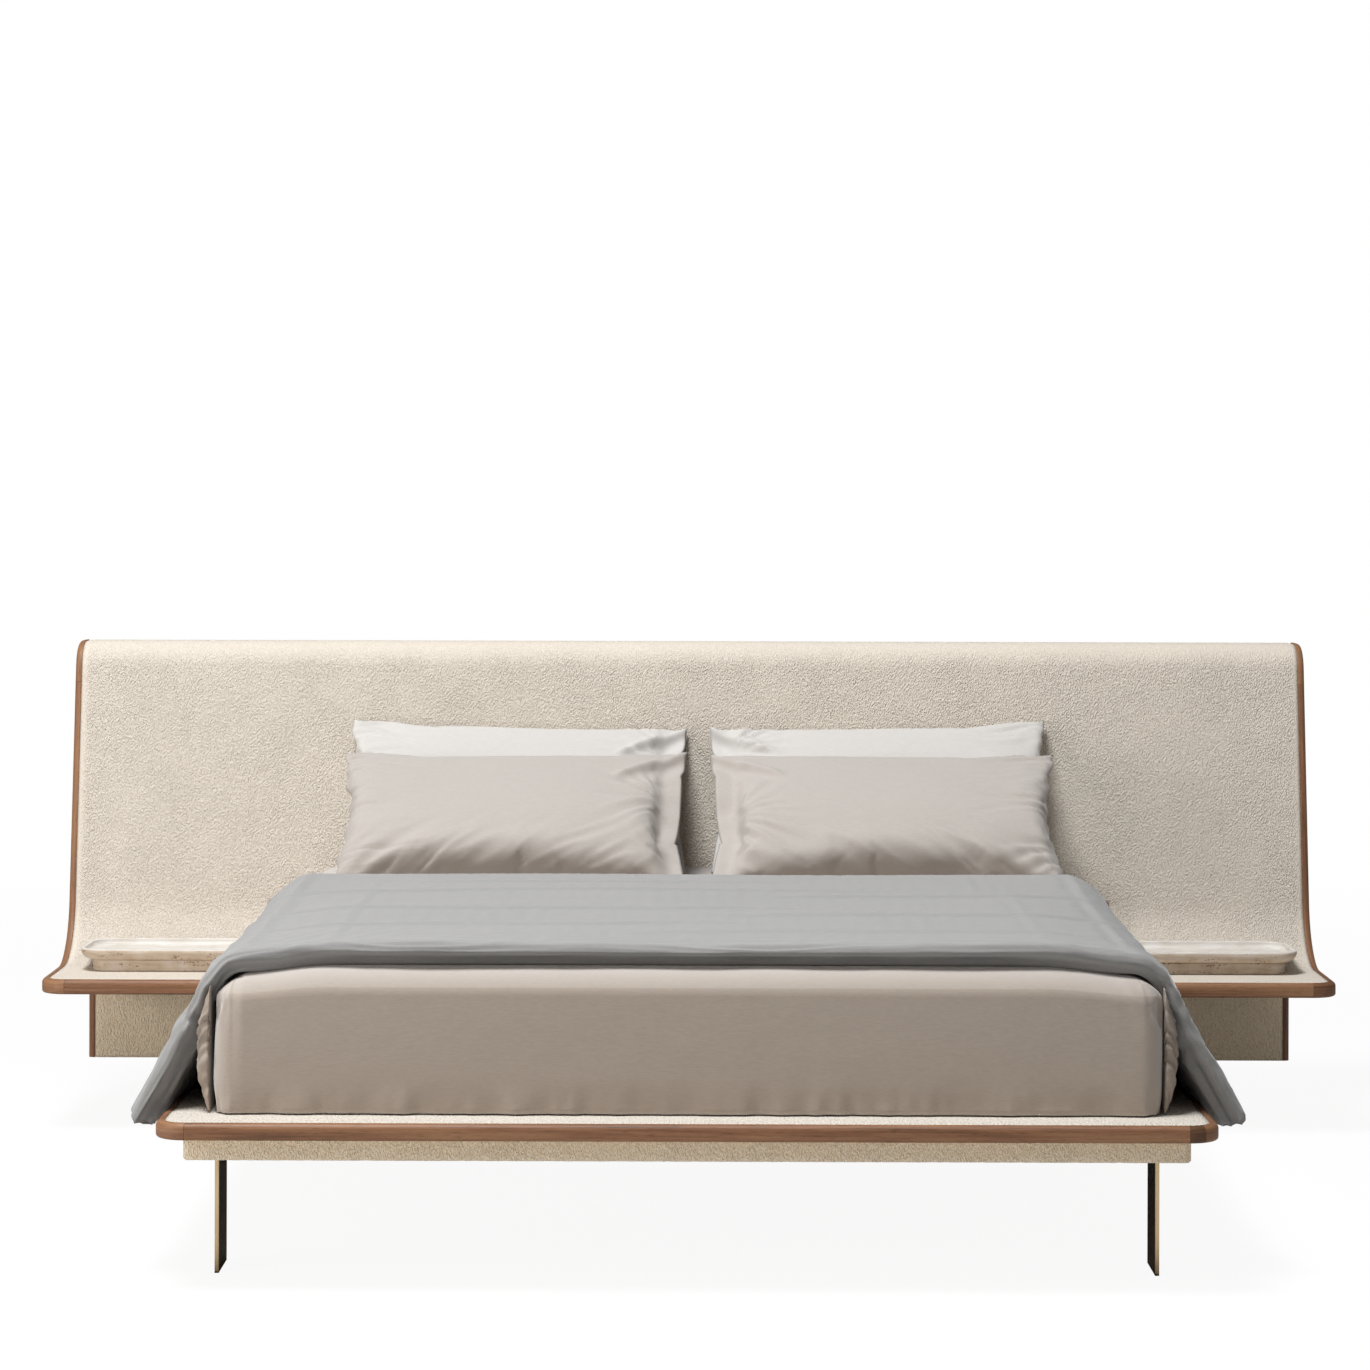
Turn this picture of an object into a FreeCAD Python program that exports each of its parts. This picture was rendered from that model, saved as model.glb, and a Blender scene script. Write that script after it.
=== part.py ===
import FreeCAD, Part
import Sketcher
import math
import os
import re

document = FreeCAD.newDocument("BedWithTrays")

# Driving dimensions: lengths in millimetres, angles in degrees, counts plain
sizes = {
    # mattress and the deck that carries it
    "mattress_width": 1800,
    "mattress_length": 2000,
    "mattress_height": 275,
    "mattress_corner": 55,
    "mattress_round": 38,
    "border": 100,
    "deck_height": 320,
    "deck_edge_height": 32,
    "deck_pad_thickness": 6,
    "deck_board_width": 150,
    "rear_board_width": 120,
    "strip_width": 16,
    "strip_round": 5,
    "corner_radius": 60,
    # apron, beam, slats and their fittings
    "apron_height": 48,
    "apron_thickness": 25,
    "apron_front_inset": 60,
    "apron_side_inset": 50,
    "beam_width": 60,
    "ledge_width": 60,
    "ledge_lap": 25,
    "ledge_height": 26,
    "slat_count": 14,
    "slat_width": 80,
    "slat_thickness": 18,
    "slat_end_gap": 4,
    "slat_first_gap": 20,
    "cap_width": 24,
    "block_size": 60,
    "block_height": 30,
    "bracket_length": 56,
    "bracket_plate": 4,
    "bracket_height": 40,
    # legs, feet and screws
    "leg_thickness": 8,
    "leg_depth": 125,
    "leg_inset": 97,
    "leg_front_setback": 200,
    "leg_rear_setback": 155,
    "flange_width": 36,
    "flange_thickness": 6,
    "centre_leg_radius": 20,
    "centre_leg_setback": 580,
    "glide_thickness": 3,
    "foot_width": 60,
    "foot_end_gap": 357,
    "foot_inner_x": 400,
    "screw_radius": 3,
    "screw_head_radius": 5.5,
    "screw_head_height": 3,
    "screw_bite": 18,
    "screw_offset_x": 11,
    "screw_offset_y": 45,
    "screw_play": 0.2,
    # headboard board and its wings
    "headboard_width": 3020,
    "board_thickness": 34,
    "pad_thickness": 6,
    "lining_thickness": 3,
    "shelf_height": 365,
    "shelf_run": 262,
    "cove_radius": 165,
    "lean_angle": 8.9,
    "lean_length": 574,
    "joint_run": 40,
    "roll_radius": 70,
    "roll_run": 47,
    "backrest_gap": 25,
    "notch_gap": 5,
    # plinth panel behind the headboard, with its gussets and spacers
    "panel_end_inset": 37,
    "panel_thickness": 40,
    "panel_cover": 4,
    "panel_setback": 500,
    "panel_bottom": 110,
    "panel_height": 590,
    "frame_gap": 5,
    "gusset_thickness": 20,
    "gusset_inner_gap": 85,
    "gusset_end_gap": 120,
    "gusset_nose": 100,
    "gusset_drop": 61,
    "gusset_rise": 60,
    "spacer_width": 80,
    "spacer_end_gap": 177,
    "spacer_height": 110,
    "spacer_top_gap": 20,
    # trays
    "tray_inner_gap": 35,
    "tray_depth": 235,
    "tray_corner": 60,
    "tray_end_gap": 70,
    "tray_lip_gap": 128,
    "bowl_height": 27,
    "bowl_round": 20,
    "rim_width": 12,
    "recess_depth": 14,
    "recess_round": 7,
    "tray_foot_inset": 28,
    "tray_foot_depth": 108,
    "tray_foot_corner": 38,
    "tray_foot_height": 28,
    "tray_foot_lip_gap": 153,
    "peg_radius": 4,
    "peg_end_gap": 72,
    "peg_depth": 12,
    "peg_rise": 7,
    "peg_play": 0.3,
    # bedding
    "sheet_thickness": 2,
    "sheet_hem_lift": 3,
    "fold_bulge": 32,
    "fold_edge": 4,
    "fold_height": 235,
    "fold_front_gap": 12,
    "fold_length": 1180,
    "duvet_thickness": 44,
    "duvet_inner_radius": 60,
    "duvet_shoulder_inset": 40,
    "duvet_slope": 23,
    "duvet_hem_height": 318,
    "duvet_front_gap": 35,
    "duvet_length": 1330,
    "pillow_length": 795,
    "pillow_height": 470,
    "pillow_thickness": 130,
    "pillow_seam": 5,
    "pillow_spread": 430,
    "pillow_shift": 22,
    "front_pillow_lean": 54,
    "back_pillow_lean": 46,
    "back_pillow_gap": 12,
    "pillow_stack_gap": 44,
    "soft_gap": 0.4,
    # every cut runs past its piece by this much
    "overrun": 1,
}

sheet = document.addObject("Spreadsheet::Sheet", "Sizes")
for row, (alias, value) in enumerate(sizes.items(), start=1):
    sheet.set(f"A{row}", alias)
    sheet.set(f"B{row}", str(value))
    sheet.setAlias(f"B{row}", alias)
document.recompute()

# Derived places: +X to the right of someone at the foot end, +Y to the head end, +Z up,
# origin on the floor in the middle of the whole bed
place_formulas = {
    "cove_turn": "90 - lean_angle",
    "half_depth": "(border + mattress_length + backrest_gap + lean_length * sin(lean_angle)"
                  " + roll_radius * cos(lean_angle) + roll_run) / 2",
    "half_width": "headboard_width / 2",
    "front_y": "-half_depth",
    "mattress_y": "front_y + border",
    "cove_end_y": "mattress_y + mattress_length + backrest_gap",
    "cove_y": "cove_end_y - cove_radius * sin(cove_turn)",
    "cove_end_z": "shelf_height + cove_radius * (1 - cos(cove_turn))",
    "lip_y": "cove_y - shelf_run",
    "roll_y": "half_depth - roll_run",
    "roll_z": "cove_end_z + lean_length * cos(lean_angle) - roll_radius * sin(lean_angle)",
    "board_half": "half_width - strip_width",
    "lip_under": "shelf_height - board_thickness",
    "deck_half": "mattress_width / 2 + border",
    "deck_core_half": "deck_half - strip_width",
    "deck_under": "deck_height - deck_edge_height",
    "deck_inner_x": "deck_core_half - deck_board_width",
    "deck_inner_y": "front_y + strip_width + deck_board_width",
    "notch_half": "deck_half + notch_gap",
    "gusset_inner_x": "notch_half + gusset_inner_gap",
    "gusset_outer_x": "half_width - gusset_end_gap",
    "panel_y": "lip_y + panel_setback",
    "panel_core_half": "half_width - panel_end_inset - strip_width",
    "spacer_pitch": "(panel_core_half - spacer_end_gap) / 2",
    "foot_outer_x": "panel_core_half - foot_end_gap",
    "panel_top": "panel_bottom + panel_height",
    "deck_rear": "panel_y - frame_gap",
    "rear_board_y": "deck_rear - rear_board_width",
    "apron_under": "deck_under - apron_height",
    "apron_y": "front_y + apron_front_inset",
    "apron_inner_y": "apron_y + apron_thickness",
    "apron_half": "deck_half - apron_side_inset",
    "apron_inner_x": "apron_half - apron_thickness",
    "leg_x": "deck_half - leg_inset",
    "flange_under": "deck_under - flange_thickness",
    "cap_height": "deck_edge_height - slat_thickness",
    "tray_length": "half_width - tray_end_gap - notch_half - tray_inner_gap",
    "tray_x": "half_width - tray_end_gap - tray_length / 2",
    "tray_foot_length": "tray_length - 2 * tray_foot_inset",
    "peg_spread": "tray_foot_length / 2 - peg_end_gap",
    "tray_y": "lip_y + tray_lip_gap + tray_depth / 2",
    "tray_foot_y": "lip_y + tray_foot_lip_gap + tray_foot_depth / 2",
    "bowl_under": "shelf_height + tray_foot_height",
    "bowl_top": "bowl_under + bowl_height",
    "mattress_top": "deck_height + mattress_height",
    "bed_top": "mattress_top + sheet_thickness",
    "sheet_half": "mattress_width / 2 + sheet_thickness",
    "back_pillow_y": "cove_end_y + (bed_top - cove_end_z + pillow_height * cos(back_pillow_lean))"
                     " * tan(lean_angle) - back_pillow_gap - pillow_height * sin(back_pillow_lean)",
    "front_pillow_y": "back_pillow_y - pillow_thickness / cos((front_pillow_lean + back_pillow_lean) / 2)"
                      " - pillow_stack_gap",
}
places = document.addObject("App::VarSet", "Places")
probe = document.addObject("App::VarSet", "Probe")
probe.addProperty("App::PropertyFloat", "result", "Derived")


def bound(formula):
    def qualify(match):
        word = match.group()
        if word in sizes:
            return "Sizes." + word
        if word in place_formulas:
            return "Places." + word
        return word
    return re.sub(r"[a-z_]+", qualify, formula)


def bind(item, name, formula):
    item.setExpression(name, bound(formula))


def number(formula):
    bind(probe, "result", formula)
    probe.recompute()
    return probe.result


for name, formula in place_formulas.items():
    places.addProperty("App::PropertyFloat", name, "Derived")
    bind(places, name, formula)
document.recompute()

side_signs = {"left": -1, "right": 1}
subparts = []


def keep(item):
    item.Label = item.Name
    subparts.append(item)
    return item


# General builders
def block(name, lengths, corner):
    solid = document.addObject("Part::Box", name)
    for prop, formula in zip(("Length", "Width", "Height"), lengths):
        bind(solid, prop, formula)
    for axis, formula in zip("xyz", corner):
        bind(solid, f"Placement.Base.{axis}", formula)
    return solid


def rod(name, radius, height, base):
    solid = document.addObject("Part::Cylinder", name)
    bind(solid, "Radius", radius)
    bind(solid, "Height", height)
    for axis, formula in zip("xyz", base):
        bind(solid, f"Placement.Base.{axis}", formula)
    return solid


def group(name, members):
    whole = document.addObject("Part::Compound", name)
    whole.Links = members
    return keep(whole)


def cut(name, base, tool):
    result = document.addObject("Part::Cut", name)
    result.Base = base
    result.Tool = tool
    return result


def fuse(name, members):
    result = document.addObject("Part::MultiFuse", name)
    result.Shapes = members
    return result


def outward(side, near, length):
    # start of a stretch that runs from near, away from the middle, on one side of the bed
    return near if side == "right" else f"-({near}) - ({length})"


def signed(side, formula):
    return formula if side == "right" else f"-({formula})"


def arc_middle(start, end, radius, turn):
    chord = end - start
    rise = radius - math.sqrt(radius ** 2 - (chord.Length / 2) ** 2)
    left = FreeCAD.Vector(-chord.y, chord.x, 0).normalize()
    return (start + end) / 2 - left * (turn * rise)


def outline(body, role, corners):
    # corners are (first, second, radius, turn); the edge that leaves a corner is an arc where it has a
    # radius, and turns left where turn is 1 and right where it is -1
    sketch = body.newObject("Sketcher::SketchObject", body.Name + "_outline")
    plane = next(item for item in body.Origin.OriginFeatures if item.Role == role)
    sketch.AttachmentSupport = (plane, [""])
    sketch.MapMode = "FlatFace"
    points = [FreeCAD.Vector(number(corner[0]), number(corner[1]), 0) for corner in corners]
    ends = []
    for index, (_, _, radius, turn) in enumerate(corners):
        start = points[index]
        end = points[(index + 1) % len(points)]
        if radius is None:
            sketch.addGeometry(Part.LineSegment(start, end), False)
        else:
            middle = arc_middle(start, end, number(radius), turn)
            first, last = (start, end) if turn == 1 else (end, start)
            sketch.addGeometry(Part.Arc(first, middle, last), False)
        ends.append((2, 1) if radius is not None and turn == -1 else (1, 2))
    for index in range(len(corners)):
        following = (index + 1) % len(corners)
        sketch.addConstraint(
            Sketcher.Constraint("Coincident", index, ends[index][1], following, ends[following][0]))
    for index, (first, second, radius, _) in enumerate(corners):
        for kind, formula in (("DistanceX", first), ("DistanceY", second)):
            at = sketch.addConstraint(
                Sketcher.Constraint(kind, -1, 1, index, ends[index][0], number(formula)))
            bind(sketch, f"Constraints[{at}]", formula)
        if radius is not None:
            at = sketch.addConstraint(Sketcher.Constraint("Radius", index, number(radius)))
            bind(sketch, f"Constraints[{at}]", radius)
    return sketch


def extrude(name, role, corners, start, length):
    body = document.addObject("PartDesign::Body", name)
    sketch = outline(body, role, corners)
    bind(sketch, "AttachmentOffset.Base.z", start)
    pad = body.newObject("PartDesign::Pad", name + "_pad")
    pad.Profile = sketch
    bind(pad, "Length", length)
    document.recompute()
    return body


def pocket(body, corners, start, depth):
    before = body.Shape.Volume
    sketch = outline(body, "XY_Plane", corners)
    bind(sketch, "AttachmentOffset.Base.z", start)
    hollow = body.newObject("PartDesign::Pocket", body.Name + "_pocket")
    hollow.Profile = sketch
    bind(hollow, "Length", depth)
    document.recompute()
    if body.Shape.Volume >= before:
        raise RuntimeError("pocket cuts nothing in " + body.Name)


def round_edges(body, radius, chosen):
    base = body.Tip
    names = [f"Edge{at}" for at, edge in enumerate(base.Shape.Edges, start=1) if chosen(edge)]
    if not names:
        raise RuntimeError("no edge to round in " + body.Name)
    fillet = body.newObject("PartDesign::Fillet", body.Name + "_round")
    fillet.Base = (base, names)
    bind(fillet, "Radius", radius)
    document.recompute()


def rectangle(x_low, y_low, x_high, y_high):
    return [
        (x_low, y_low, None, 0),
        (x_high, y_low, None, 0),
        (x_high, y_high, None, 0),
        (x_low, y_high, None, 0),
    ]


def rounded_rectangle(x_low, y_low, x_high, y_high, radius):
    return [
        (f"{x_low} + {radius}", y_low, None, 0),
        (f"{x_high} - ({radius})", y_low, radius, 1),
        (x_high, f"{y_low} + {radius}", None, 0),
        (x_high, f"{y_high} - ({radius})", radius, 1),
        (f"{x_high} - ({radius})", y_high, None, 0),
        (f"{x_low} + {radius}", y_high, radius, 1),
        (x_low, f"{y_high} - ({radius})", None, 0),
        (x_low, f"{y_low} + {radius}", radius, 1),
    ]


same_place = 1e-4


def at_height(formula):
    # chooses the edges that lie level at one height
    height = number(formula)

    def chosen(edge):
        box = edge.BoundBox
        return abs(box.ZMin - height) < same_place and abs(box.ZMax - height) < same_place
    return chosen


def upright_at(x_formula, y_formula):
    # chooses the vertical edges over one point of the plan
    x, y = number(x_formula), number(y_formula)

    def chosen(edge):
        centre = edge.BoundBox.Center
        upright = edge.BoundBox.ZLength > same_place and edge.BoundBox.XLength < same_place
        return upright and abs(centre.x - x) < same_place and abs(centre.y - y) < same_place
    return chosen


def along_front(y_formula):
    # chooses the edges that run across the bed at one distance from the foot end
    y = number(y_formula)

    def chosen(edge):
        box = edge.BoundBox
        across = box.XLength > same_place and box.ZLength < same_place
        return across and abs(box.YMin - y) < same_place and abs(box.YMax - y) < same_place
    return chosen


# Headboard board: stations along its bent section, at a depth behind the upholstered face
stations = ["lip", "cove_start", "cove_end", "joint", "lean_end", "roll_end", "top_end"]


def board_point(station, depth, setback):
    lean_y = f"roll_y - (roll_radius - ({depth})) * cos(lean_angle)"
    lean_z = f"roll_z + (roll_radius - ({depth})) * sin(lean_angle)"
    return {
        "lip": (f"lip_y + {setback}", f"shelf_height - ({depth})"),
        "cove_start": ("cove_y", f"shelf_height - ({depth})"),
        "cove_end": (f"cove_y + (cove_radius + {depth}) * sin(cove_turn)",
                     f"shelf_height + cove_radius - (cove_radius + {depth}) * cos(cove_turn)"),
        "joint": (f"{lean_y} - joint_run * sin(lean_angle)", f"{lean_z} - joint_run * cos(lean_angle)"),
        "lean_end": (lean_y, lean_z),
        "roll_end": ("roll_y", f"roll_z + roll_radius - ({depth})"),
        "top_end": ("half_depth", f"roll_z + roll_radius - ({depth})"),
    }[station]


def board_section(near, far, first, last, setback="0"):
    bends = {"cove_start": ("cove_radius + {}", 1), "lean_end": ("roll_radius - ({})", -1)}
    run = stations[stations.index(first):stations.index(last) + 1]
    corners = []
    for at, station in enumerate(run):
        radius, turn = bends.get(station, (None, 0)) if at < len(run) - 1 else (None, 0)
        corners.append((*board_point(station, near, setback), radius and radius.format(near), turn))
    back = run[::-1]
    for at, station in enumerate(back):
        following = back[at + 1] if at < len(back) - 1 else None
        radius, turn = bends.get(following, (None, 0))
        corners.append((*board_point(station, far, setback), radius and radius.format(far), -turn))
    return corners


def board_layer(name, near, far, first, last, start, length, setback="0"):
    return extrude(name, "YZ_Plane", board_section(near, far, first, last, setback), start, length)


core_back = "board_thickness - lining_thickness"
board_layers = {
    "pad": ("0", "pad_thickness"),
    "core": ("pad_thickness", core_back),
    "lining": (core_back, "board_thickness"),
}
for layer, (near, far) in board_layers.items():
    keep(board_layer(f"headboard_{layer}", near, far, "cove_end", "top_end", "-board_half", "2 * board_half"))

wing_near = "notch_half + strip_width"
wing_length = f"board_half - ({wing_near})"


def wing_layer(layer, side):
    near, far = board_layers[layer]
    wing = board_layer(f"wing_{layer}_{side}", near, far, "lip", "cove_end",
                       outward(side, wing_near, wing_length), wing_length, "strip_width")
    round_edges(wing, "corner_radius - strip_width",
                upright_at(signed(side, "board_half"), "lip_y + strip_width"))
    return wing


def board_strip(name, side, first, last, near_x, setback="0"):
    return board_layer(f"{name}_{side}", "0", "board_thickness", first, last,
                       outward(side, near_x, "strip_width"), "strip_width", setback)


for side in side_signs:
    keep(wing_layer("pad", side))
    keep(wing_layer("core", side))
    keep(board_strip("side_strip", side, "lip", "joint", "board_half", "corner_radius"))
    keep(board_strip("top_strip", side, "joint", "top_end", "board_half"))
group("wing_linings", [wing_layer("lining", side) for side in side_signs])
group("inner_strips", [board_strip("inner_strip", side, "lip", "cove_end", "notch_half", "strip_width")
                       for side in side_signs])


# Rounded corner pieces of the wood edging: a quarter ring, centred on the corner's own arc
def corner_piece(name, side, y_front, z_low, height, half):
    outer = "corner_radius"
    inner = "corner_radius - strip_width"
    centre_x = f"({half}) - corner_radius"
    centre_y = f"{y_front} + corner_radius"
    corners = [
        (centre_x, y_front, outer, 1),
        (half, centre_y, None, 0),
        (f"({half}) - strip_width", centre_y, inner, -1),
        (centre_x, f"{y_front} + strip_width", None, 0),
    ]
    if side == "left":
        turned = [corners[at] for at in (3, 2, 1, 0)]
        arcs = [(inner, -1), (None, 0), (outer, 1), (None, 0)]
        corners = [(f"-({x})", y, *arc) for (x, y, _, _), arc in zip(turned, arcs)]
    return extrude(name, "XY_Plane", corners, z_low, height)


def edge_strip(name, x_low, x_high, y_front, z_low, height):
    # straight front strip with both outer edges rounded
    corners = rectangle(x_low, y_front, x_high, f"{y_front} + strip_width")
    strip = extrude(name, "XY_Plane", corners, z_low, height)
    round_edges(strip, "strip_round", along_front(y_front))
    return strip


for side in side_signs:
    lip_ends = (signed(side, "notch_half"), signed(side, "half_width - corner_radius"))
    x_low, x_high = lip_ends if side == "right" else lip_ends[::-1]
    keep(edge_strip(f"lip_strip_{side}", x_low, x_high, "lip_y", "lip_under", "board_thickness"))
group("lip_corners", [
    corner_piece(f"lip_corner_{side}", side, "lip_y", "lip_under", "board_thickness", "half_width")
    for side in side_signs
])

# Plinth panel behind and under the headboard
keep(block("panel_core", ("2 * panel_core_half", "panel_thickness - panel_cover", "panel_height"),
           ("-panel_core_half", "panel_y + panel_cover", "panel_bottom")))
keep(block("panel_front_cover", ("2 * panel_core_half", "panel_cover", "panel_height"),
           ("-panel_core_half", "panel_y", "panel_bottom")))
group("panel_edges", [
    block(f"panel_edge_{side}", ("strip_width", "panel_thickness", "panel_height"),
          (outward(side, "panel_core_half", "strip_width"), "panel_y", "panel_bottom"))
    for side in side_signs
])


def behind_board(z_formula):
    # Y of the board's rear face on its leaning stretch, at one height
    y, z = board_point("cove_end", "board_thickness", "0")
    return f"{y} + ({z_formula} - ({z})) * tan(lean_angle)"


# Gussets carry the wings from the panel; spacers fill the wedge between board and panel
cove_foot = board_point("cove_start", "board_thickness", "0")
cove_head = board_point("cove_end", "board_thickness", "0")
gusset_top = f"{cove_head[1]} + gusset_rise"
gusset_corners = [
    ("lip_y + gusset_nose", "lip_under", None, 0),
    (*cove_foot, "cove_radius + board_thickness", 1),
    (*cove_head, None, 0),
    (behind_board(gusset_top), gusset_top, None, 0),
    ("panel_y", gusset_top, None, 0),
    ("panel_y", "lip_under - gusset_drop", None, 0),
]
gussets = []
for side in side_signs:
    for name, near in (("inner", "gusset_inner_x"), ("outer", "gusset_outer_x")):
        gussets.append(extrude(f"gusset_{name}_{side}", "YZ_Plane", gusset_corners,
                               outward(side, near, "gusset_thickness"), "gusset_thickness"))
group("wing_gussets", gussets)

spacer_top = "panel_top - spacer_top_gap"
spacer_under = f"{spacer_top} - spacer_height"
spacer_corners = [
    (behind_board(spacer_under), spacer_under, None, 0),
    ("panel_y", spacer_under, None, 0),
    ("panel_y", spacer_top, None, 0),
    (behind_board(spacer_top), spacer_top, None, 0),
]
spacer_steps = (-2, -1, 0, 1, 2)
group("panel_spacers", [
    extrude(f"spacer_{at}", "YZ_Plane", spacer_corners,
            f"{step} * spacer_pitch - spacer_width / 2", "spacer_width")
    for at, step in enumerate(spacer_steps)
])

# Deck of the platform: boards, fabric pads on them and the wood edging
deck_board_height = "deck_edge_height - deck_pad_thickness"
deck_layers = {"board": ("deck_under", deck_board_height),
               "pad": ("deck_height - deck_pad_thickness", "deck_pad_thickness")}
for layer, (z_low, height) in deck_layers.items():
    corners = rectangle("-deck_core_half", "front_y + strip_width", "deck_core_half", "deck_inner_y")
    front = keep(extrude(f"deck_{layer}_front", "XY_Plane", corners, z_low, height))
    for side in side_signs:
        round_edges(front, "corner_radius - strip_width",
                    upright_at(signed(side, "deck_core_half"), "front_y + strip_width"))

leg_places = {"front": "front_y + leg_front_setback",
              "rear": "deck_rear - leg_rear_setback - leg_depth"}


def screw_spots(side):
    # plan places of the screws through both leg flanges on one side
    spots = []
    for start in leg_places.values():
        for across in (-1, 1):
            for along in (-1, 1):
                spots.append((f"{signed(side, 'leg_x')} + {across} * screw_offset_x",
                              f"{start} + leg_depth / 2 + {along} * screw_offset_y"))
    return spots


def hole_set(name, spots, z_low, height, radius):
    return fuse(name, [rod(f"{name}_{at}", radius, height, (x, y, z_low))
                       for at, (x, y) in enumerate(spots)])


side_length = "deck_rear - (deck_inner_y)"
side_boards, side_pads = [], []
for side in side_signs:
    plain = block(f"deck_board_{side}_plain", ("deck_board_width", side_length, deck_board_height),
                  (outward(side, "deck_inner_x", "deck_board_width"), "deck_inner_y", "deck_under"))
    pilots = hole_set(f"pilot_{side}", screw_spots(side), "deck_under - overrun",
                      "screw_bite + overrun", "screw_radius + screw_play")
    side_boards.append(cut(f"deck_board_{side}", plain, pilots))
    side_pads.append(block(f"deck_pad_{side}", ("deck_board_width", side_length, "deck_pad_thickness"),
                           (outward(side, "deck_inner_x", "deck_board_width"), "deck_inner_y",
                            "deck_height - deck_pad_thickness")))
    keep(block(f"deck_strip_{side}",
               ("strip_width", "deck_rear - front_y - corner_radius", "deck_edge_height"),
               (outward(side, "deck_core_half", "strip_width"), "front_y + corner_radius", "deck_under")))
group("deck_side_boards", side_boards)
group("deck_side_pads", side_pads)
group("deck_corners", [
    corner_piece(f"deck_corner_{side}", side, "front_y", "deck_under", "deck_edge_height", "deck_half")
    for side in side_signs
])
keep(edge_strip("deck_strip_front", "corner_radius - deck_half", "deck_half - corner_radius",
                "front_y", "deck_under", "deck_edge_height"))
keep(block("deck_board_rear", ("2 * deck_inner_x", "rear_board_width", "deck_edge_height"),
           ("-deck_inner_x", "rear_board_y", "deck_under")))

# Apron, centre beam and corner blocks under the deck
keep(block("apron_front", ("2 * apron_half", "apron_thickness", "apron_height"),
           ("-apron_half", "apron_y", "apron_under")))
for side in side_signs:
    keep(block(f"apron_{side}", ("apron_thickness", "deck_rear - (apron_inner_y)", "apron_height"),
               (outward(side, "apron_inner_x", "apron_thickness"), "apron_inner_y", "apron_under")))
keep(block("centre_beam", ("beam_width", "deck_rear - (apron_inner_y)", "apron_height"),
           ("-beam_width / 2", "apron_inner_y", "apron_under")))
group("corner_blocks", [
    block(f"corner_block_{side}", ("block_size", "block_size", "block_height"),
          (outward(side, "apron_inner_x - block_size", "block_size"), "apron_inner_y",
           "deck_under - block_height"))
    for side in side_signs
])


# Angle brackets tie the aprons and the beam to the panel
def angle_bracket(name, side, face, towards_middle):
    # face is the X of the rail's face that takes the upright leaf
    leaf = f"{face} - bracket_plate" if towards_middle else face
    reach = f"{face} - bracket_length" if towards_middle else face
    z_low = "apron_under + (apron_height - bracket_height) / 2"
    along = block(f"{name}_rail_leaf", ("bracket_plate", "bracket_length", "bracket_height"),
                  (outward(side, leaf, "bracket_plate"), "panel_y - bracket_length", z_low))
    across = block(f"{name}_panel_leaf", ("bracket_length", "bracket_plate", "bracket_height"),
                   (outward(side, reach, "bracket_length"), "panel_y - bracket_plate", z_low))
    return fuse(name, [along, across])


brackets = []
for side in side_signs:
    brackets.append(angle_bracket(f"apron_bracket_{side}", side, "apron_inner_x", True))
    brackets.append(angle_bracket(f"beam_bracket_{side}", side, "beam_width / 2", False))
group("rail_brackets", brackets)

# Slats on rubber caps, carried by side ledges and the beam
group("slat_ledges", [
    block(f"ledge_{side}", ("ledge_width", "rear_board_y - (deck_inner_y)", "ledge_height"),
          (outward(side, "deck_inner_x + ledge_lap - ledge_width", "ledge_width"), "deck_inner_y",
           "deck_under - ledge_height"))
    for side in side_signs
])
slat_half = "deck_inner_x - slat_end_gap"
slat_room = "rear_board_y - (deck_inner_y) - 2 * slat_first_gap - slat_width"
slats, caps = [], []
for index in range(sizes["slat_count"]):
    y_low = f"deck_inner_y + slat_first_gap + {index} * ({slat_room}) / (slat_count - 1)"
    slats.append(block(f"slat_{index}", (f"2 * ({slat_half})", "slat_width", "slat_thickness"),
                       (f"-({slat_half})", y_low, "deck_under + cap_height")))
    for side in side_signs:
        caps.append(block(f"cap_{side}_{index}", ("cap_width", "slat_width", "cap_height"),
                          (outward(side, f"{slat_half} - cap_width", "cap_width"), y_low, "deck_under")))
    caps.append(block(f"cap_middle_{index}", ("beam_width", "slat_width", "cap_height"),
                      ("-beam_width / 2", y_low, "deck_under")))
group("slats", slats)
group("slat_caps", caps)

# Blade legs, each a plate welded to a screwed flange
screws, glides = [], []
legs = {"front": [], "rear": []}
for side in side_signs:
    spots = screw_spots(side)
    for at, (end, y_low) in enumerate(leg_places.items()):
        own = spots[4 * at:4 * at + 4]
        blade = block(f"blade_{end}_{side}", ("leg_thickness", "leg_depth", "flange_under - glide_thickness"),
                      (f"{signed(side, 'leg_x')} - leg_thickness / 2", y_low, "glide_thickness"))
        flange = block(f"flange_{end}_{side}", ("flange_width", "leg_depth", "flange_thickness"),
                       (f"{signed(side, 'leg_x')} - flange_width / 2", y_low, "flange_under"))
        holes = hole_set(f"flange_holes_{end}_{side}", own, "flange_under - overrun",
                         "flange_thickness + 2 * overrun", "screw_radius + screw_play")
        legs[end].append(cut(f"leg_{end}_{side}", fuse(f"leg_{end}_{side}_welded", [blade, flange]), holes))
        glides.append(block(f"glide_{end}_{side}", ("leg_thickness", "leg_depth", "glide_thickness"),
                            (f"{signed(side, 'leg_x')} - leg_thickness / 2", y_low, "0")))
    for at, (x, y) in enumerate(spots):
        shank = rod(f"screw_shank_{side}_{at}", "screw_radius",
                    "flange_thickness + screw_bite - screw_play", (x, y, "flange_under"))
        head = rod(f"screw_head_{side}_{at}", "screw_head_radius", "screw_head_height",
                   (x, y, "flange_under - screw_head_height"))
        screws.append(fuse(f"screw_{side}_{at}", [shank, head]))
for leg in legs["front"]:
    keep(leg)
group("rear_legs", legs["rear"])
group("leg_screws", screws)

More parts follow.
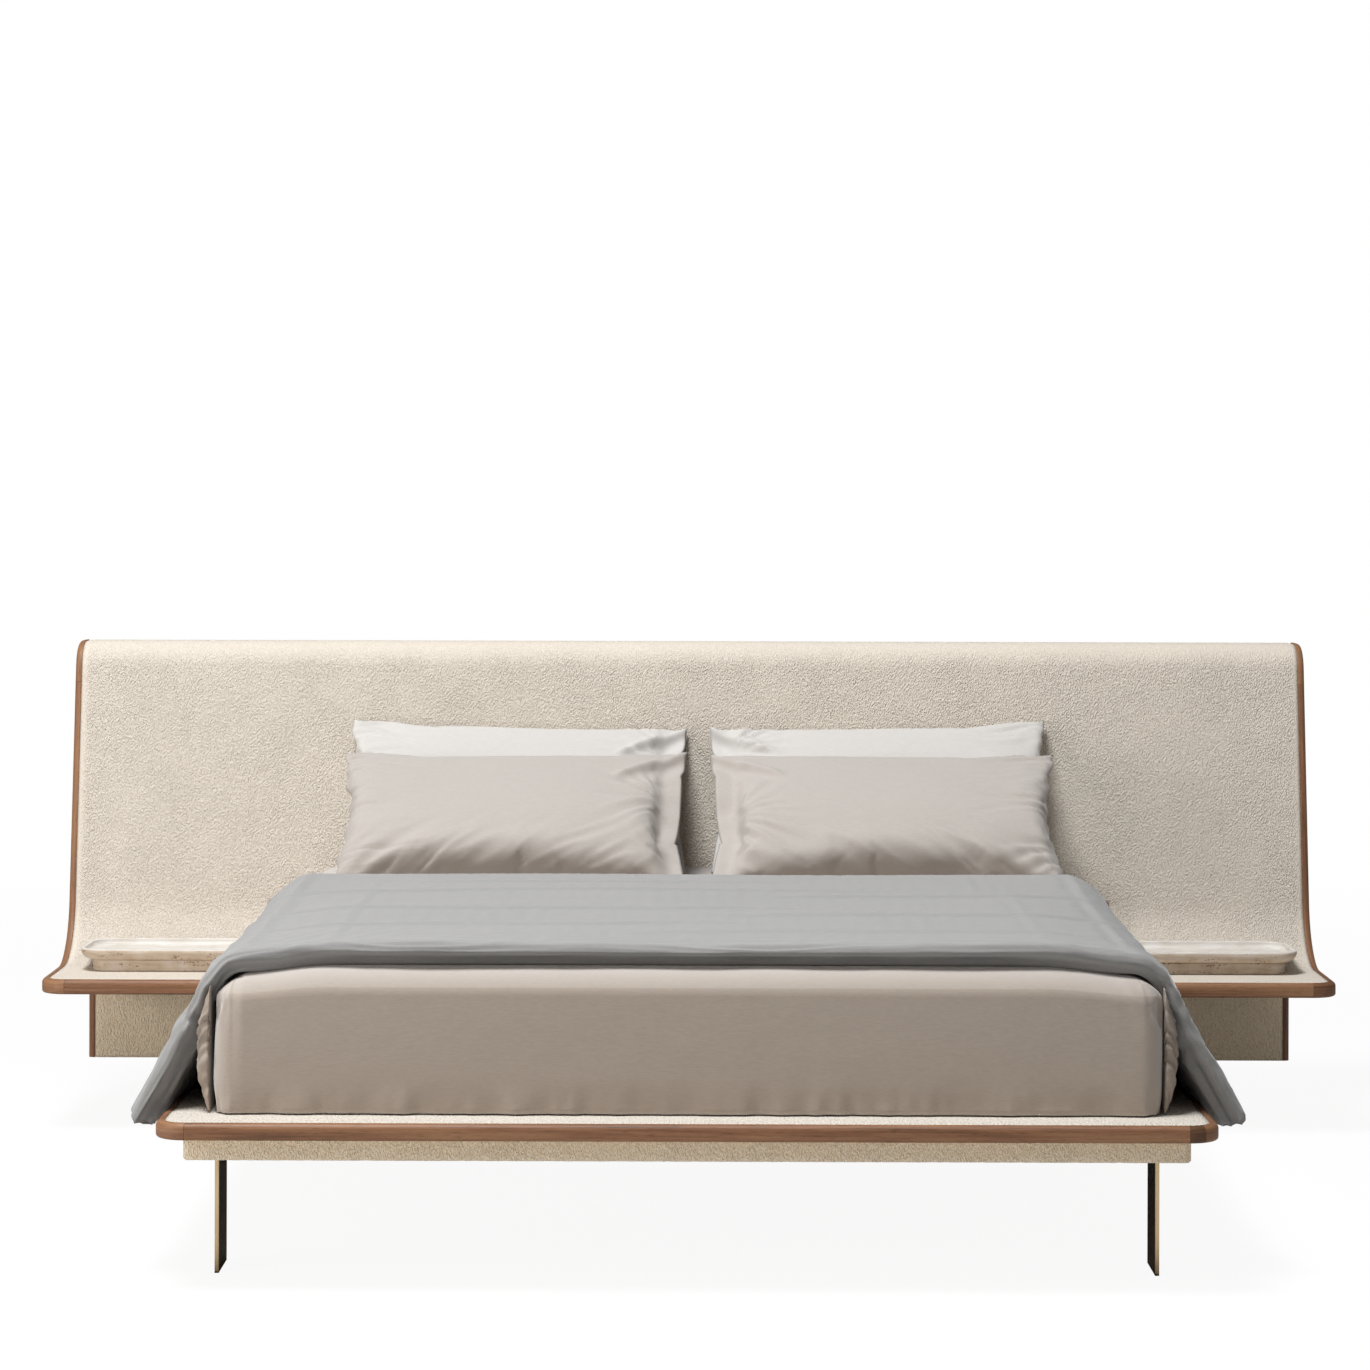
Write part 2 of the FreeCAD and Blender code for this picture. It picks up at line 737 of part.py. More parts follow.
centre_spot = ("0", "deck_rear - centre_leg_setback")
keep(rod("centre_leg", "centre_leg_radius", "apron_under - glide_thickness",
         (*centre_spot, "glide_thickness")))
glides.append(rod("glide_centre", "centre_leg_radius", "glide_thickness", (*centre_spot, "0")))
feet = []
for side in side_signs:
    for name, near in (("outer", "foot_outer_x"), ("inner", "foot_inner_x")):
        x_low = f"{signed(side, near)} - foot_width / 2"
        feet.append(block(f"foot_{name}_{side}",
                          ("foot_width", "panel_thickness", "panel_bottom - glide_thickness"),
                          (x_low, "panel_y", "glide_thickness")))
        glides.append(block(f"glide_{name}_{side}", ("foot_width", "panel_thickness", "glide_thickness"),
                            (x_low, "panel_y", "0")))
group("headboard_feet", feet)
group("floor_glides", glides)


# Stone trays: a fixed foot with two pegs, and a bowl that lifts off them
def plan_box(x, y, length, depth):
    return (f"{x} - ({length}) / 2", f"{y} - ({depth}) / 2", f"{x} + ({length}) / 2", f"{y} + ({depth}) / 2")


pegs = []
for side in side_signs:
    x = signed(side, "tray_x")
    peg_spots = [(f"{x} + {step} * peg_spread", "tray_foot_y") for step in (-1, 1)]
    foot = extrude(f"tray_foot_{side}_plain", "XY_Plane",
                   rounded_rectangle(*plan_box(x, "tray_foot_y", "tray_foot_length", "tray_foot_depth"),
                                     "tray_foot_corner"), "shelf_height", "tray_foot_height")
    sockets = hole_set(f"peg_sockets_{side}", peg_spots, "bowl_under - peg_depth",
                       "peg_depth + overrun", "peg_radius")
    keep(cut(f"tray_foot_{side}", foot, sockets))
    for at, (peg_x, peg_y) in enumerate(peg_spots):
        pegs.append(rod(f"peg_{side}_{at}", "peg_radius", "peg_depth + peg_rise",
                        (peg_x, peg_y, "bowl_under - peg_depth")))
    bowl = extrude(f"tray_bowl_{side}_plain", "XY_Plane",
                   rounded_rectangle(*plan_box(x, "tray_y", "tray_length", "tray_depth"), "tray_corner"),
                   "bowl_under", "bowl_height")
    round_edges(bowl, "bowl_round", at_height("bowl_under"))
    pocket(bowl, rounded_rectangle(*plan_box(x, "tray_y", "tray_length - 2 * rim_width",
                                             "tray_depth - 2 * rim_width"), "(tray_corner - rim_width)"),
           "bowl_top", "recess_depth")
    round_edges(bowl, "recess_round", at_height("bowl_top - recess_depth"))
    seats = hole_set(f"peg_seats_{side}", peg_spots, "bowl_under - overrun",
                     "peg_rise + peg_play + overrun", "peg_radius + peg_play")
    keep(cut(f"tray_bowl_{side}", bowl, seats))
group("tray_pegs", pegs)


# Mattress and the fitted sheet drawn over it
def mattress_block(name, grow, z_low):
    half = f"mattress_width / 2 + {grow}"
    body = extrude(name, "XY_Plane",
                   rounded_rectangle(f"-({half})", f"mattress_y - {grow}", half,
                                     f"mattress_y + mattress_length + {grow}", f"(mattress_corner + {grow})"),
                   z_low, f"mattress_top + {grow} - ({z_low})")
    round_edges(body, f"mattress_round + {grow}", at_height(f"mattress_top + {grow}"))
    return body


mattress = keep(mattress_block("mattress", "0", "deck_height"))
sheet_outside = mattress_block("sheet_outside", "sheet_thickness", "deck_height + sheet_hem_lift")
keep(cut("fitted_sheet", sheet_outside, mattress))
document.recompute()


# Soft goods: lofts through sections of lines and arcs
def loft_solid(sections, ruled):
    solid = Part.makeLoft(sections, True, ruled)
    if solid.Volume < 0:
        solid.reverse()
    return solid


def soft_piece(name, shape, offset):
    item = document.addObject("Part::Feature", name)
    item.Shape = shape
    item.Placement = FreeCAD.Placement(offset, FreeCAD.Rotation())
    return keep(item)


def wire(points, arcs):
    # closed outline; arcs gives, by the number of its first corner, the point that an edge passes through
    edges = []
    for at, start in enumerate(points):
        end = points[(at + 1) % len(points)]
        if at in arcs:
            edges.append(Part.Arc(start, arcs[at], end).toShape())
        else:
            edges.append(Part.LineSegment(start, end).toShape())
    return Part.Wire(edges)


# Loose folds of the sheet beside the mattress: how far each place stands out, from the foot end on
fold_place_shares = (0, 0.04, 0.13, 0.26, 0.42, 0.60, 0.80, 1)
fold_bulge_shares = (0.55, 1, 0.78, 0.97, 0.70, 0.92, 0.68, 0.60)
fold_belly_share = 0.45
for side, sign in side_signs.items():
    near = number("sheet_half + soft_gap")
    low = number("deck_height + sheet_hem_lift")
    high = low + number("fold_height")
    edge = number("fold_edge")
    sections = []
    for place, bulge in zip(fold_place_shares, fold_bulge_shares):
        y = number("mattress_y + fold_front_gap") + place * number("fold_length")
        belly = FreeCAD.Vector(sign * (near + bulge * number("fold_bulge")), y,
                               low + fold_belly_share * (high - low))
        corners = [(near, low), (near + edge, low), (near + edge, high), (near, high)]
        points = [FreeCAD.Vector(sign * x, y, z) for x, z in corners]
        sections.append(wire(points, {1: belly}))
    soft_piece(f"sheet_fold_{side}", loft_solid(sections, True), FreeCAD.Vector())

# Duvet: one thick cover over the mattress, its sides sloping out past the deck
duvet_place_shares = (0, 0.008, 0.028, 0.14, 0.30, 0.47, 0.64, 0.82, 0.96, 1)
duvet_loft_shares = (0.35, 0.80, 1, 1, 0.97, 1, 0.96, 0.90, 0.72, 0.45)
duvet_left_shares = (1, 1, 1.02, 0.93, 1.04, 0.96, 1.05, 0.97, 1.02, 1)
duvet_right_shares = (1, 1, 0.98, 1.05, 0.94, 1.03, 0.95, 1.04, 0.99, 1)


def duvet_side(sign, slope_degrees, thickness, y):
    # hem, slope and shoulder of one side: outer points from the hem up, then inner ones, with arc middles
    slope = math.radians(slope_degrees)
    inner = number("duvet_inner_radius")
    outer = inner + thickness
    centre_x = number("sheet_half - duvet_shoulder_inset")
    centre_z = number("bed_top + soft_gap") - inner
    turn = math.pi / 2 - slope

    def on_arc(radius, angle):
        return centre_x + radius * math.sin(angle), centre_z + radius * math.cos(angle)

    hem_z = number("duvet_hem_height")
    outer_end = on_arc(outer, turn)
    hem_outer = (outer_end[0] + (outer_end[1] - hem_z) * math.tan(slope), hem_z)
    hem_inner = (hem_outer[0] - thickness * math.cos(slope), hem_z - thickness * math.sin(slope))
    outer_points = [hem_outer, outer_end, on_arc(outer, turn / 2), (centre_x, centre_z + outer)]
    inner_points = [hem_inner, on_arc(inner, turn), on_arc(inner, turn / 2), (centre_x, centre_z + inner)]
    return [[FreeCAD.Vector(sign * x, y, z) for x, z in run] for run in (outer_points, inner_points)]


sections = []
for place, loft, left, right in zip(duvet_place_shares, duvet_loft_shares,
                                    duvet_left_shares, duvet_right_shares):
    y = number("mattress_y + duvet_front_gap") + place * number("duvet_length")
    thickness = loft * number("duvet_thickness")
    left_outer, left_inner = duvet_side(-1, left * number("duvet_slope"), thickness, y)
    right_outer, right_inner = duvet_side(1, right * number("duvet_slope"), thickness, y)
    points = [left_outer[0], left_outer[1], left_outer[3], right_outer[3], right_outer[1], right_outer[0],
              right_inner[0], right_inner[1], right_inner[3], left_inner[3], left_inner[1], left_inner[0]]
    arcs = {1: left_outer[2], 3: right_outer[2], 7: right_inner[2], 9: left_inner[2]}
    sections.append(wire(points, arcs))
soft_piece("duvet", loft_solid(sections, True), FreeCAD.Vector())

# Pillows: lens sections, thin at the seams, with sides drawn in between the corners
pillow_place_shares = (-1, -0.97, -0.86, -0.55, 0, 0.55, 0.86, 0.97, 1)
pillow_loft_shares = (0.10, 0.30, 0.66, 0.94, 1, 0.94, 0.66, 0.30, 0.10)
pillow_reach_shares = (1, 0.992, 0.972, 0.955, 0.95, 0.955, 0.972, 0.992, 1)


def pillow_shape(lean_degrees):
    # lower seam on the X axis, leaning back by an angle from upright
    lean = math.radians(lean_degrees)
    up = FreeCAD.Vector(0, math.sin(lean), math.cos(lean))
    out = FreeCAD.Vector(0, -math.cos(lean), math.sin(lean))
    half_height = number("pillow_height / 2")
    seam = number("pillow_seam / 2")
    middle = up * half_height
    sections = []
    for place, loft, reach in zip(pillow_place_shares, pillow_loft_shares, pillow_reach_shares):
        along = FreeCAD.Vector(place * number("pillow_length / 2"), 0, 0) + middle
        crown = max(loft * number("pillow_thickness / 2"), seam * (1 + loft))
        edge = up * (half_height * reach)
        points = [along - edge + out * seam, along + edge + out * seam,
                  along + edge - out * seam, along - edge - out * seam]
        sections.append(wire(points, {0: along + out * crown, 2: along - out * crown}))
    return loft_solid(sections, False)


# the back pair leans on the board, and the front pair on the back pair
pillow_rows = {
    "back": ("back_pillow_lean", "back_pillow_y"),
    "front": ("front_pillow_lean", "front_pillow_y"),
}
for row_name, (lean, y_formula) in pillow_rows.items():
    shape = pillow_shape(number(lean))
    rise = number("bed_top + soft_gap") - shape.optimalBoundingBox().ZMin
    for side, sign in side_signs.items():
        x = sign * number("pillow_spread") + number("pillow_shift")
        soft_piece(f"pillow_{row_name}_{side}", shape.copy(), FreeCAD.Vector(x, number(y_formula), rise))

# Every object is sound before anything is written
document.recompute()
for item in document.Objects:
    if "Invalid" in item.State or "Error" in item.State:
        raise RuntimeError(f"{item.Name} failed: {item.State}")
for item in subparts:
    if item.Shape.isNull() or not item.Shape.isValid() or not item.Shape.Solids:
        raise RuntimeError(f"{item.Label} has no sound shape")

os.makedirs("parts", exist_ok=True)
for item in subparts:
    item.Shape.exportStep(f"parts/{item.Label}.step")
print(len(subparts), "pieces written")
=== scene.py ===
import bmesh
import bpy
import math
import numpy as np
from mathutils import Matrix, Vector, noise


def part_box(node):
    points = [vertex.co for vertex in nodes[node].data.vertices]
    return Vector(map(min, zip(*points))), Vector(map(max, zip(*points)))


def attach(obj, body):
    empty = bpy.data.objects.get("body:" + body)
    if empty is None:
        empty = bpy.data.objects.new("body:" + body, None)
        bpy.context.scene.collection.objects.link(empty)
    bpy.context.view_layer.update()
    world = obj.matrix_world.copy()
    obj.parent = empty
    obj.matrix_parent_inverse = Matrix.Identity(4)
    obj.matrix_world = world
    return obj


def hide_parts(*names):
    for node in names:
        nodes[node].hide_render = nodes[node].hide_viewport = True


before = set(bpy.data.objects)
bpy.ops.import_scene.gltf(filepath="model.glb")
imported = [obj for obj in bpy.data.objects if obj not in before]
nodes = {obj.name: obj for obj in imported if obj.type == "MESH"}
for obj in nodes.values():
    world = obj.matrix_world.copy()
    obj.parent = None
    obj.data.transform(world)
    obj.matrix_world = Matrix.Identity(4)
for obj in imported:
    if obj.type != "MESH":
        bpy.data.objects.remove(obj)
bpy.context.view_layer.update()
scene = bpy.context.scene
noise.seed_set(4)  # noise_vector draws its offsets from this, so the loops come out the same each run
print("frame loaded:", len(nodes), "nodes")


def hexColour(value):
    # sRGB hex to the linear colour that the shaders take
    parts = [int(value[i:i + 2], 16) / 255 for i in (0, 2, 4)]
    return tuple(c / 12.92 if c <= 0.04045 else ((c + 0.055) / 1.055) ** 2.4 for c in parts) + (1.0,)


def addNode(tree, kind, inputs=None, ramp=None, **settings):
    node = tree.nodes.new(kind)
    for name, value in settings.items():
        setattr(node, name, value)
    for socket, value in (inputs or {}).items():
        if isinstance(value, bpy.types.NodeSocket):
            tree.links.new(value, node.inputs[socket])
        else:
            node.inputs[socket].default_value = value
    if ramp:
        elements = node.color_ramp.elements
        while len(elements) < len(ramp):
            elements.new(0.5)
        for element, (place, colour) in zip(elements, ramp):
            element.position = place
            element.color = hexColour(colour)
    return node


def newTree(name):
    material = bpy.data.materials.new(name)
    material.use_nodes = True
    material.node_tree.nodes.clear()
    return material, material.node_tree


def closeTree(tree, surface):
    addNode(tree, "ShaderNodeOutputMaterial", {"Surface": surface})


def coat(tree, inputs):
    closeTree(tree, addNode(tree, "ShaderNodeBsdfPrincipled", inputs).outputs[0])


def perMetre(millimetres):
    # texture scale of a pattern that repeats at a real size
    return 1000 / millimetres


def objectPlace(tree):
    return addNode(tree, "ShaderNodeTexCoord").outputs["Object"]


def scaled(tree, place, sizes):
    return addNode(tree, "ShaderNodeMapping", {"Vector": place, "Scale": tuple(map(perMetre, sizes))}).outputs[0]


def grain(tree, place, size, detail, roughness=0.5, distortion=0.0):
    # noise with features of a real size in mm: one size, or one along each axis
    scale = 1.0
    if isinstance(size, tuple):
        place = scaled(tree, place, size)
    else:
        scale = perMetre(size)
    return addNode(tree, "ShaderNodeTexNoise", {"Vector": place, "Scale": scale, "Detail": detail,
                                                "Roughness": roughness, "Distortion": distortion}).outputs[0]


def tint(tree, value, *stops):
    return addNode(tree, "ShaderNodeValToRGB", {"Fac": value}, ramp=stops).outputs[0]


def remap(tree, value, low, high, fromLow=0.0, fromHigh=1.0):
    return addNode(tree, "ShaderNodeMapRange", {"Value": value, "From Min": fromLow, "From Max": fromHigh,
                                                "To Min": low, "To Max": high}).outputs[0]


def reckon(tree, operation, *values):
    return addNode(tree, "ShaderNodeMath", dict(enumerate(values)), operation=operation).outputs[0]


def mixed(tree, share, first, second, **settings):
    return addNode(tree, "ShaderNodeMix", {0: share, 6: first, 7: second}, data_type="RGBA", **settings).outputs[2]


def relief(tree, height, distance, strength, **normal):
    return addNode(tree, "ShaderNodeBump", {"Height": height, "Distance": distance, "Strength": strength,
                                            **normal}).outputs[0]


def boucleCloth(name, low, mid, high, loopSize, patchSize):
    # looped wool: matte, a fine relief of short wriggles lit on one side, woollier in some patches than in others
    material, tree = newTree(name)
    place = objectPlace(tree)
    turned = addNode(tree, "ShaderNodeMapping", {"Vector": place, "Rotation": (0, 0.6, 0), "Scale": (1.45, 1.0, 0.75)})
    ridge = grain(tree, turned.outputs[0], loopSize, 1.0)
    reach = remap(tree, grain(tree, place, patchSize, 1.0), 0.0049, 0.0061, 0.35, 0.65)
    # cloth drawn tight over an edge loses its nap
    tight = addNode(tree, "ShaderNodeAttribute", attribute_name="tight").outputs["Fac"]
    # the colour darkens where the relief is low: painted shade in the gaps between the loops
    coat(tree, {"Base Color": tint(tree, ridge, (0.30, low), (0.48, mid), (0.66, high)),
                "Normal": relief(tree, ridge, reach, remap(tree, tight, 1.0, 0.15)), "Roughness": 0.95,
                "Specular IOR Level": 0.12, "Sheen Weight": 0.18, "Sheen Roughness": 0.6})
    return material


def washedCotton(name, shade, body, sheen, paintedSheenShare):
    # percale: smooth and matte, soft crumples, a pale painted sheen mixed into the colour where it turns away from the
    # eye;
    # its 0.3 mm threads can't show at this distance, so slubs of 2 by 14 mm stand for them
    material, tree = newTree(name)
    place = objectPlace(tree)
    slub = grain(tree, place, (14, 2, 2), 1.0)
    facing = addNode(tree, "ShaderNodeLayerWeight", {"Blend": 0.5}).outputs["Facing"]
    # painted sheen: the colour runs towards a pale grey-white as the cloth turns away from the eye
    paintedSheenColour = mixed(tree, reckon(tree, "MULTIPLY", facing, paintedSheenShare), tint(tree, slub, (0.3, shade), (0.7, body)),
                    hexColour("f1f2f4"))
    soft = relief(tree, grain(tree, place, 70, 3.0), 0.010, 0.16)
    coat(tree, {"Base Color": paintedSheenColour, "Normal": relief(tree, slub, 0.0005, 0.15, Normal=soft), "Roughness": 0.86,
                "Specular IOR Level": 0.2, "Sheen Weight": sheen, "Sheen Roughness": 0.3})
    return material


def oiledOak(name, dark, mid, light):
    # brown oiled oak: long straight grain along each strip, dark open pores, a low satin shine
    material, tree = newTree(name)
    along, across, tone = (addNode(tree, "ShaderNodeAttribute", attribute_name=label).outputs
                           for label in ("grainAlong", "grainCross", "tone"))
    cross = addNode(tree, "ShaderNodeSeparateXYZ", {0: across["Vector"]}).outputs
    start = reckon(tree, "MULTIPLY_ADD", tone["Fac"], 7.0, along["Fac"])
    place = addNode(tree, "ShaderNodeCombineXYZ", {0: start, 1: cross[0], 2: cross[1]}).outputs[0]
    streak = grain(tree, place, (160, 3.4, 3.4), 4.0, 0.6, 0.3)
    figure = grain(tree, place, (420, 18, 18), 2.0)
    pore = remap(tree, grain(tree, place, (24, 1.3, 1.3), 1.0), 0.62, 1.0, 0.30, 0.42)
    half = reckon(tree, "MULTIPLY", reckon(tree, "ADD", streak, figure), 0.5)
    shift = reckon(tree, "MULTIPLY_ADD", tone["Fac"], 0.12, half)
    worn = mixed(tree, 1.0, tint(tree, shift, (0.36, dark), (0.52, mid), (0.70, light)), pore, blend_type="MULTIPLY")
    coat(tree, {"Base Color": worn, "Roughness": remap(tree, streak, 0.40, 0.62),
                "Normal": relief(tree, pore, 0.0004, 0.4), "Specular IOR Level": 0.4})
    return material


def rawWood(name, dark, light, sizes, roughness):
    # unfinished sheet and slat wood: pale, dry, streaked along the longest run
    material, tree = newTree(name)
    streak = grain(tree, objectPlace(tree), sizes, 4.0, 0.6, 0.4)
    coat(tree, {"Base Color": tint(tree, streak, (0.32, dark), (0.68, light)),
                "Normal": relief(tree, streak, 0.0006, 0.3), "Roughness": roughness})
    return material


def travertineStone(name, low, mid, high, pitReach):
    # travertine: cream, faint level bands, strings of small rusty pits where the stone is open
    material, tree = newTree(name)
    place = objectPlace(tree)
    bands = reckon(tree, "ADD", grain(tree, place, (120, 120, 9), 4.0, 0.65), grain(tree, place, 45, 3.0))
    stone = tint(tree, reckon(tree, "MULTIPLY", bands, 0.5), (0.34, low), (0.50, mid), (0.66, high))
    pit = addNode(tree, "ShaderNodeTexVoronoi", {"Vector": scaled(tree, place, (7, 7, 4)), "Scale": 1.0,
                                                 "Randomness": 1.0})
    reach = remap(tree, grain(tree, place, (60, 60, 12), 2.0), 0.0, pitReach, 0.45, 0.68)
    solid = remap(tree, reckon(tree, "SUBTRACT", pit.outputs["Distance"], reach), 0.0, 1.0, -0.10, 0.04)
    coat(tree, {"Base Color": mixed(tree, solid, hexColour("9c7656"), stone),
                "Roughness": remap(tree, solid, 0.9, 0.52), "Normal": relief(tree, solid, 0.0022, 0.8),
                "Specular IOR Level": 0.35})
    return material


def brushedMetal(name, dark, light, sizes, metallic, low, high):
    # metal or moulding with a drawn finish: fine lines along one way, a broken highlight across them
    material, tree = newTree(name)
    line = grain(tree, objectPlace(tree), sizes, 3.0)
    coat(tree, {"Base Color": tint(tree, line, (0.3, dark), (0.7, light)), "Roughness": remap(tree, line, low, high),
                "Metallic": metallic})
    return material


boucle = boucleCloth("creamBoucle", "cec3b4", "dacfc1", "e1d7cb", 3.8, 110)
# the panel's and aprons' bouclé is paler and warmer than the headboard's, painted light for the shade under the shelves
# and the deck
litBaseBoucle = boucleCloth("creamBoucleBase", "e1cdaf", "eddabf", "f2e3cc", 4.1, 80)
# the deck's bouclé is darker than the headboard's, painted shade that tones down its top where it faces the lamps
shadedDeckBoucle = boucleCloth("creamBoucleDeck", "ccc2b5", "d3cabe", "d8d0c6", 8.0, 120)
# the last number of each cotton below is its share of painted sheen in the colour
lining = washedCotton("liningTwill", "b8ab98", "c4b8a6", 0.1, 0.0)
sheetCotton = washedCotton("taupeSheetCotton", "a6998d", "ac9f93", 0.5, 0.40)
# the folds' cotton is the sheet's made a little darker, painted shade for the crevices they lie in
shadedFoldCotton = washedCotton("taupeSheetFolds", "a3968a", "a99c90", 0.2, 0.0)  # rumpled, so without the bloom
duvetCotton = washedCotton("greyDuvetCotton", "848280", "8b8987", 0.3, 0.20)
greigeCotton = washedCotton("greigePillowCotton", "aea69f", "b4aca5", 0.2, 0.10)
whiteCotton = washedCotton("whitePillowCotton", "c3bfba", "c9c5c1", 0.2, 0.05)
ticking = washedCotton("mattressTicking", "dedbd4", "e8e5de", 0.1, 0.0)
edgeOak = oiledOak("edgeOak", "5e4029", "875d41", "9c7352")
plywood = rawWood("birchPlywood", "c6a87c", "dfc8a0", (220, 220, 5), 0.75)
pine = rawWood("planedPine", "cfae7a", "e2c795", (9, 300, 9), 0.7)
beech = rawWood("beechSlatWood", "c99f74", "dfbb92", (260, 7, 7), 0.5)
travertine = travertineStone("honedTravertine", "cac2b7", "d6d0c9", "dedad4", 0.12)
sawnStone = travertineStone("sawnTravertine", "b9a38e", "cfbfac", "ddd2c9", 0.42)
# bronze darkened as painted shade, and brass painted bright for the lit front edges of the blades
darkBronze = brushedMetal("darkBronze", "1b1512", "2a201b", (2, 2, 90), 0.6, 0.42, 0.55)
litBrassEdge = brushedMetal("polishedBrassEdge", "d6b88c", "ebd3aa", (3, 3, 60), 1.0, 0.28, 0.4)
zincSteel = brushedMetal("zincSteel", "a9abad", "c3c5c7", (6, 6, 6), 1.0, 0.3, 0.45)
rubber = brushedMetal("blackRubber", "121212", "1e1e1e", (4, 4, 4), 0.0, 0.8, 0.95)
nylon = brushedMetal("blackNylon", "151413", "23211f", (5, 5, 5), 0.0, 0.5, 0.7)
print("materials made")

keptFinishes = {
    plywood: ["headboard_core", "wing_core_left", "wing_core_right", "panel_core", "panel_spacers", "wing_gussets",
              "deck_board_front", "deck_board_rear", "deck_side_boards"],
    pine: ["centre_beam", "corner_blocks", "slat_ledges", "headboard_feet"],
    lining: ["headboard_lining", "wing_linings"],
    zincSteel: ["rail_brackets", "tray_pegs", "centre_leg"],
    rubber: ["slat_caps"],
    nylon: ["floor_glides"],
    darkBronze: ["rear_legs"],
}
for finish, members in keptFinishes.items():
    for member in members:
        for holder in nodes[member].material_slots:
            holder.material = finish


def addObject(data):
    thing = bpy.data.objects.new(data.name, data)
    scene.collection.objects.link(thing)
    return thing


def bakedMesh(piece):
    # what a piece's modifiers make of it, as a plain mesh
    return bpy.data.meshes.new_from_object(piece.evaluated_get(bpy.context.evaluated_depsgraph_get()))


def smooth(mesh):
    mesh.polygons.foreach_set("use_smooth", [True] * len(mesh.polygons))


def makePiece(name, points, faces, *finishes):
    mesh = bpy.data.meshes.new(name)
    mesh.from_pydata([tuple(p) for p in points], [], faces)
    for finish in finishes:
        mesh.materials.append(finish)
    smooth(mesh)
    mesh.update()
    return addObject(mesh)


def workPiece(name, work, *finishes):
    mesh = bpy.data.meshes.new(name)
    work.to_mesh(mesh)
    work.free()
    for finish in finishes:
        mesh.materials.append(finish)
    return addObject(mesh)


def settle(piece, body, slot, *replaced):
    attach(piece, body)
    if replaced:
        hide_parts(*replaced)
    return piece


def turnOutward(piece):
    work = bmesh.new()
    work.from_mesh(piece.data)
    bmesh.ops.recalc_face_normals(work, faces=work.faces)
    work.to_mesh(piece.data)
    work.free()
    return piece


def thicken(piece, depth):
    # gives a cloth face its thickness, inwards
    shell = piece.modifiers.new("shell", "SOLIDIFY")
    shell.thickness = depth
    shell.offset = -1
    return piece


def gridFaces(rows, columns, closed=False):
    faces = []
    for r in range(rows - 1):
        for c in range(columns if closed else columns - 1):
            d = (c + 1) % columns
            low, high = r * columns, (r + 1) * columns
            faces.append((low + c, low + d, high + d, high + c))
    return faces


def tubeFaces(rings, ringSize):
    # rings of points joined one to the next, with both ends closed
    ends = [tuple(range(ringSize))[::-1], tuple(range((rings - 1) * ringSize, rings * ringSize))]
    return gridFaces(rings, ringSize, closed=True) + ends


def holedGrid(rows, columns, pointAt):
    # a grid of faces, open wherever pointAt gives nothing
    points, index, faces = [], {}, []
    for r, row in enumerate(rows):
        for c, column in enumerate(columns):
            point = pointAt(column, row)
            if point:
                index[r, c] = len(points)
                points.append(point)
    for r in range(len(rows) - 1):
        for c in range(len(columns) - 1):
            ring = [index.get(k) for k in ((r, c), (r, c + 1), (r + 1, c + 1), (r + 1, c))]
            if None not in ring:
                faces.append(ring)
    return points, faces


def ease(value):
    t = min(max(value, 0.0), 1.0)
    return t * t * (3 - 2 * t)


def bell(value):
    return math.exp(-value ** 2)


def ripple(*place):
    return noise.noise(Vector(place))


def crest(*place):
    # sharp folds with slack between them
    return 0.35 - 1.5 * abs(noise.noise(Vector(place)))


def spread(low, high, step):
    count = max(1, round((high - low) / step))
    return [low + (high - low) * i / count for i in range(count + 1)]


def mirrored(inner, outer, step):
    # columns across the left side, the middle and the right side
    side = spread(inner, outer, step)
    return [-x for x in reversed(side)] + spread(-inner, inner, step)[1:-1] + side


def roundCorner(across, along, half, first, corner):
    # pulls a grid's square corner in to a round one, and gives the distance left to its edge
    over, ahead = (across - (half - corner)) / corner, (first + corner - along) / corner
    if over <= 0 or ahead <= 0:
        return across, along, None
    a, h = over * math.sqrt(1 - ahead ** 2 / 2), ahead * math.sqrt(1 - over ** 2 / 2)
    return half - corner + a * corner, first + corner - h * corner, corner * (1 - math.hypot(a, h))


def curlHeight(x, s, size):
    # real relief of the loops, coarse enough for the mesh to carry
    place = Vector((x / size, s / size, 0.37))
    bent = place + noise.noise_vector(place * 0.55) * 0.8
    return 0.5 - abs(noise.noise(bent))


quarterTurns = ((1, -1, -90), (1, 1, 0), (-1, 1, 90), (-1, -1, 180))  # corners of a loop and where each starts to turn

boardShape = {
    "halfWidth": 1.494, "wingInner": 1.021, "lipStart": 1.005, "lipY": 0.535, "setback": 0.016, "shelfZ": 0.365,
    "shelfRun": 0.262, "coveRadius": 0.165, "lean": math.radians(8.9), "leanLength": 0.574, "rollRadius": 0.070,
    "rollRun": 0.047, "topStrip": 0.040, "corner": 0.044, "grid": 0.008, "padDepth": 0.0052, "edgeDrop": 0.0028,
    "edgeRun": 0.012, "curlRise": 0.0003, "curlSize": 0.019,
    # where the cloth is drawn tight: share, start and run
    "tightEdge": 0.022, "tightShelf": (0.7, 0.19, 0.14), "tightRoll": (0.6, 0.08),
}
coveTurn = math.pi / 2 - boardShape["lean"]
coveEnd = boardShape["shelfRun"] + boardShape["coveRadius"] * coveTurn
leanEnd = coveEnd + boardShape["leanLength"]
rollEnd = leanEnd + boardShape["rollRadius"] * coveTurn
boardEnd = rollEnd + boardShape["rollRun"]
jointRun = leanEnd - boardShape["topStrip"]  # where the side strip meets the top strip


